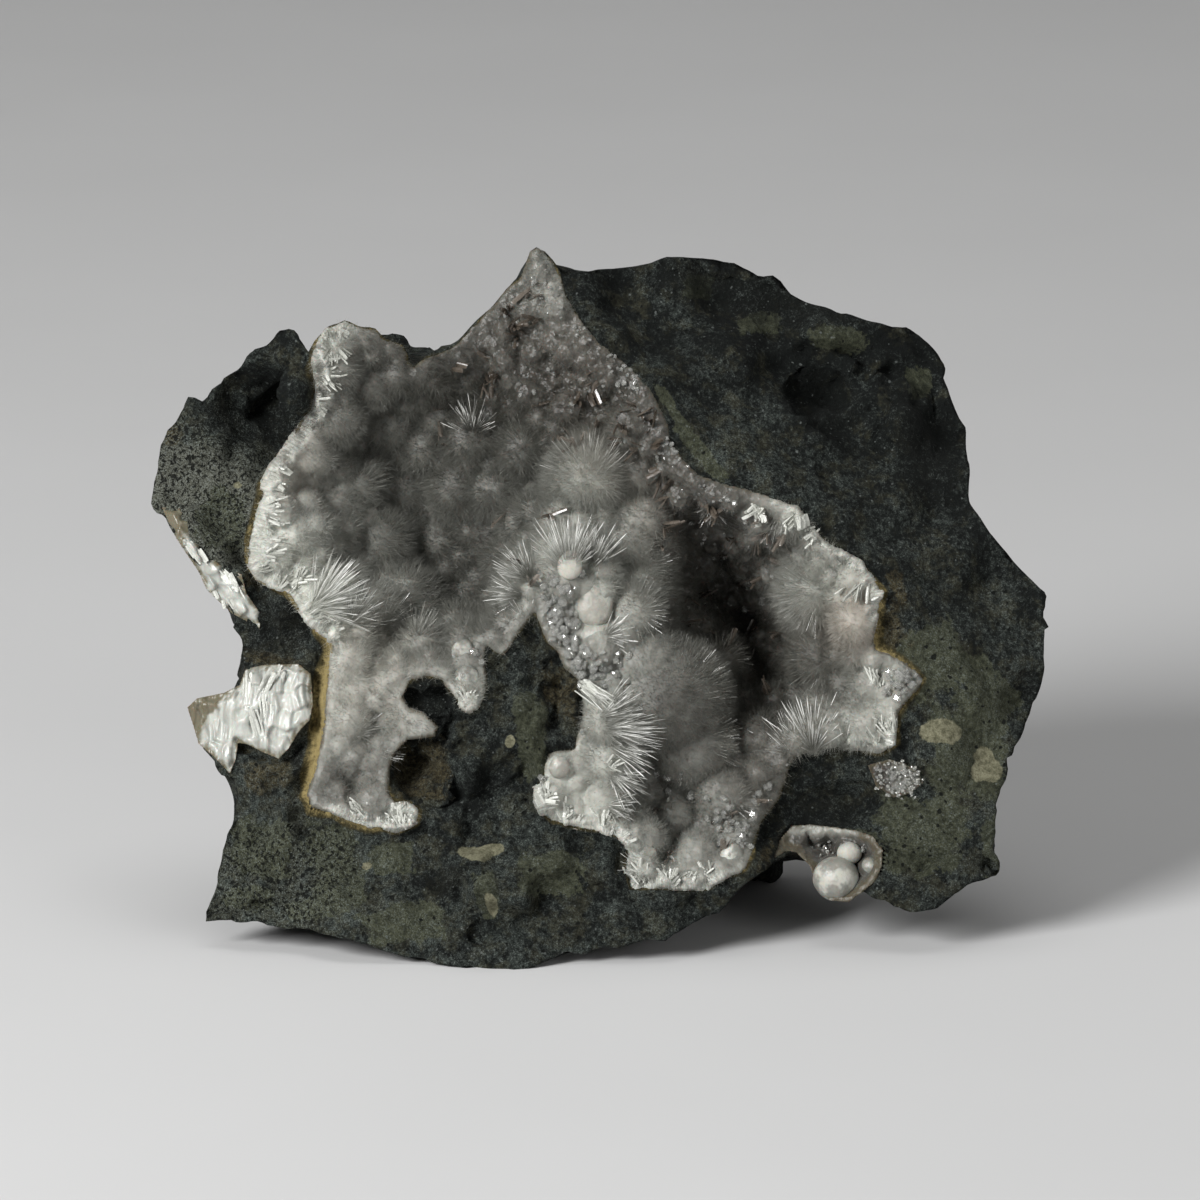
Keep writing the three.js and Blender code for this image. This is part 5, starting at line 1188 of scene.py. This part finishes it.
# name, node, outline, depth in front of the bare face, way of the fibres, half fan, lengths, bundles, tan tip
for name, node, outline, proud, way, half, short, long, number, tip in (
    ("fibre_vein", "edge_vein", vein_outline, 0.8, -56, 30, 1, 3, 9, (-54, 57.4)),
    ("fibre_slab", "fibre_block", fibre_outline, 1.2, 88, 22, 2, 5, 14, (-50.6, 33.2)),
):
    places, inside, rim = small_grid(outline, fibre_step)
    front = marked(face_marks, places) - proud + 0.7 * (1 - step_between(0, 1.2, inside))
    chips = np.dstack([places, front])
    front += 0.3 * fibre_ridges(places, way) + 0.2 * lumpy(chips, 2.6, 43, 2) + 0.4 * facets(chips, 2.2, 44)
    points, faces, edges, where = lining(places, inside, rim, front, fibre_deep, fibre_step)
    edges = edges - 5 * np.exp(-((where - np.array(tip)) ** 2).sum(1) / 6)
    slab = mesh_piece(name, points, faces, {
        "edge": edges, "pink": edges * 0, "dim": edges * 0, "silk": 0.5 + 0.5 * fibre_ridges(where, way)})
    slab.data.materials.append(fibres)
    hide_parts(node)
    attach(slab, "root")
    middle = chance.uniform(outline.min(0), outline.max(0), (number * 6, 2))
    middle = middle[rim_distance(outline, middle)[0] > 0.3][:number]
    lean = np.radians(way + half * chance.normal(0, 0.6, len(middle)))
    owner = np.repeat(np.arange(len(middle)), blades_per_bundle)
    starts = middle[owner] + chance.normal(0, 0.42, (len(owner), 2))
    across = lean[owner] + chance.normal(0, 0.04, len(owner))
    length = chance.uniform(short, long, len(owner))
    aim = np.column_stack([np.cos(across), np.sin(across), chance.normal(0, 0.16, len(middle))[owner]])
    good = (rim_distance(outline, starts)[0] > 0.25) & (np.hypot(*(starts - np.array(tip)).T) > 2.8)
    ends = starts + aim[:, :2] * length[:, None]
    good &= rim_distance(outline, ends)[0] > chance.uniform(-0.3, 0.2, len(owner))
    starts, aim, length, owner = starts[good], aim[good], length[good], owner[good]
    depth = marked(face_marks, starts) - proud + chance.uniform(0.15, 0.4, len(starts))
    bright = 0.3 + chance.random(len(middle))[owner] * 0.5 + chance.uniform(0, 0.1, len(starts))
    wide, thick = chance.uniform(0.08, 0.3, len(starts)), chance.uniform(0.03, 0.07, len(starts))
    roots = np.column_stack([starts, depth])
    blades(name + "_fibres", roots, aim, length, wide, thick, silky, "zeolite_fibres", flat=4, glow=bright)


# The pocket at the foot of the block: a thin crust of thomsonite in a small hollow that breaks through the
# edge, with one large clear ball, smaller ones and a druse; and the patch of druse on the ledge above it.
small_step, pocket_deep, ledge_deep = 0.25, 2.8, 1.6
places, inside, rim = small_grid(pocket_outline, small_step)
front = marked(face_marks, places) + 2.5 * step_between(0.3, 2.5, inside) + 0.3
pocket_lumps = [(29.4, 11.4, 2.9), (31.2, 14.9, 1.9), (24.6, 16, 1.5), (27.4, 16.6, 1.2), (33.4, 12.6, 1.2)]
front = raised(front, places, pocket_lumps, [0.2] * 5)
chips = np.dstack([places, front])
front += 0.35 * (knobs(chips, 1.0, 51) - 0.5) + 0.15 * lumpy(chips, 1.2, 52, 2)
points, faces, edges, where = lining(places, inside, rim, front, pocket_deep, small_step)
# the dim mark is darker further in from the rim, painted shade in the small hollow, and lighter on the white
# band along the top
pocket = mesh_piece("pocket_crust", points, faces, {
    "edge": edges - 0.7 + 0.8 * step_between(16, 17.2, where[:, 1]),
    "pink": edges * 0, "knob": edges * 0 + 0.8,
    "dim": 0.93 + 0.05 * step_between(1, 3, edges) - 0.34 * step_between(16.2, 17.2, where[:, 1])})
pocket.data.materials.append(thomsonite)
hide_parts("corner_pocket_crust")
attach(pocket, "root")
# across, up, half width, half height, pink, dim
entries = np.array([
    (29.4, 11.3, 2.9, 2.8, 0, 0.68), (31.1, 14.4, 1.6, 1.4, 0, 0.3), (33.6, 12.8, 1.1, 1.2, 0, 0.75),
])
middles = np.column_stack([entries[:, :2], marked(face_marks, entries[:, :2]) + 1.9 - 0.2 * entries[:, 2]])
halves = entries[:, [2, 3, 2]]
pearls = round_balls("pocket_balls", middles, halves, 0.05, {"pink": entries[:, 4], "dim": entries[:, 5]})
pearls.data.materials.append(porcelain)
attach(pearls, "root")
places, inside, rim = small_grid(ledge_outline, small_step)
front = marked(face_marks, places) - 0.7 + 0.5 * (1 - step_between(0, 1, inside))
front = front + 0.3 * lumpy(np.dstack([places, inside]), 0.8, 55, 2)
points, faces, edges, where = lining(places, inside, rim, front, ledge_deep, small_step)
ledge = mesh_piece("ledge_crust", points, faces, {
    "edge": edges, "pink": edges * 0, "knob": edges * 0 + 1,
    "dim": 1 - 0.3 * step_between(35, 38, where[:, 0])})
ledge.data.materials.append(thomsonite)
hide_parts("ledge_druse")
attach(ledge, "root")
at = chance.uniform((22, 8.5), (40.5, 26.5), (14000, 2))
on_ledge = rim_distance(ledge_outline, at)[0] > chance.normal(0.2, 0.45, len(at))
on_ledge &= chance.random(len(at)) < np.clip((at[:, 0] - 34) / 4, 0.06, 1)
at = np.vstack([at[on_ledge][:170], at[rim_distance(pocket_outline, at)[0] > 0.4][:110]])
depth = marked(face_marks, at) + np.where(at[:, 1] > 19, -0.7, 2.2)
ways = np.column_stack([chance.normal(0, 0.8, (len(at), 2)), -np.ones(len(at))])
size = chance.uniform(0.09, 0.3, len(at))
points, faces, each = rods(standing(*at.T, depth), heading(ways), size * 2.2 / 1000, size / 1000,
                           size * 0.8 / 1000, crystal_rings, 6)
specks = mesh_piece("small_druse", points, faces, smooth=False)
specks.data.materials.append(clear)
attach(specks, "root")


# Stage: a plain pale floor that sweeps up into a backdrop, a soft light from the left in front, a weak one
# from the right and one from above, and a long lens at the height of the photograph's.
sweep = [(-1500, 0), (1100, 0), (1300, 25), (1420, 110), (1480, 260), (1500, 500), (1500, 2400)]
points = np.array([(x, y, z) for x in (-2600, 2600) for y, z in sweep]) / 1000
floor = mesh_piece("floor", points, [net(2, len(sweep), ring=False)[:, ::-1]])
floor.modifiers.new("round", "SUBSURF").levels = 2
floor.modifiers["round"].render_levels = 2
paper, shade, shader = material("paper", {"Roughness": 0.9, "Specular IOR Level": 0.1})
feed(shader, colour=shade.noise(60).tint((0.6, 0.6, 0.6), (0.63, 0.63, 0.63)))
floor.data.materials.append(paper)


def soft_light(name, place, size, watts):
    """A round soft light that looks at the middle of the block."""
    lamp = bpy.data.lights.new(name, "AREA")
    lamp.shape, lamp.size, lamp.energy = "DISK", size, watts
    holder = bpy.data.objects.new(name, lamp)
    x, y, z = np.array(place) - np.array([0, 0, 0.04])
    holder.location = place
    holder.rotation_euler = (np.arctan2(np.hypot(x, y), z), 0, np.arctan2(y, x) + np.pi / 2)
    bpy.context.scene.collection.objects.link(holder)


soft_light("key", (-0.7, -0.7, 0.6), 0.5, 16)
soft_light("fill", (0.8, -0.8, 0.35), 0.7, 2.5)
soft_light("top", (0.1, 0.1, 1.1), 0.8, 3)
world = bpy.data.worlds.new("studio")
world.use_nodes = True
world.node_tree.nodes["Background"].inputs[0].default_value = (0.82, 0.82, 0.8, 1)
world.node_tree.nodes["Background"].inputs[1].default_value = 0.16
bpy.context.scene.world = world
bpy.context.scene.view_settings.view_transform = "Standard"

camera = bpy.data.cameras.new("camera")
camera.lens, camera.sensor_width, camera.clip_start, camera.clip_end = 240, 36, 0.05, 10
eye = bpy.data.objects.new("camera", camera)
eye_distance = 1000
eye.location = standing(0, 46, 8 - eye_distance)
eye.rotation_euler = (np.pi / 2 - face_lean, 0, 0)
bpy.context.scene.collection.objects.link(eye)
bpy.context.scene.camera = eye
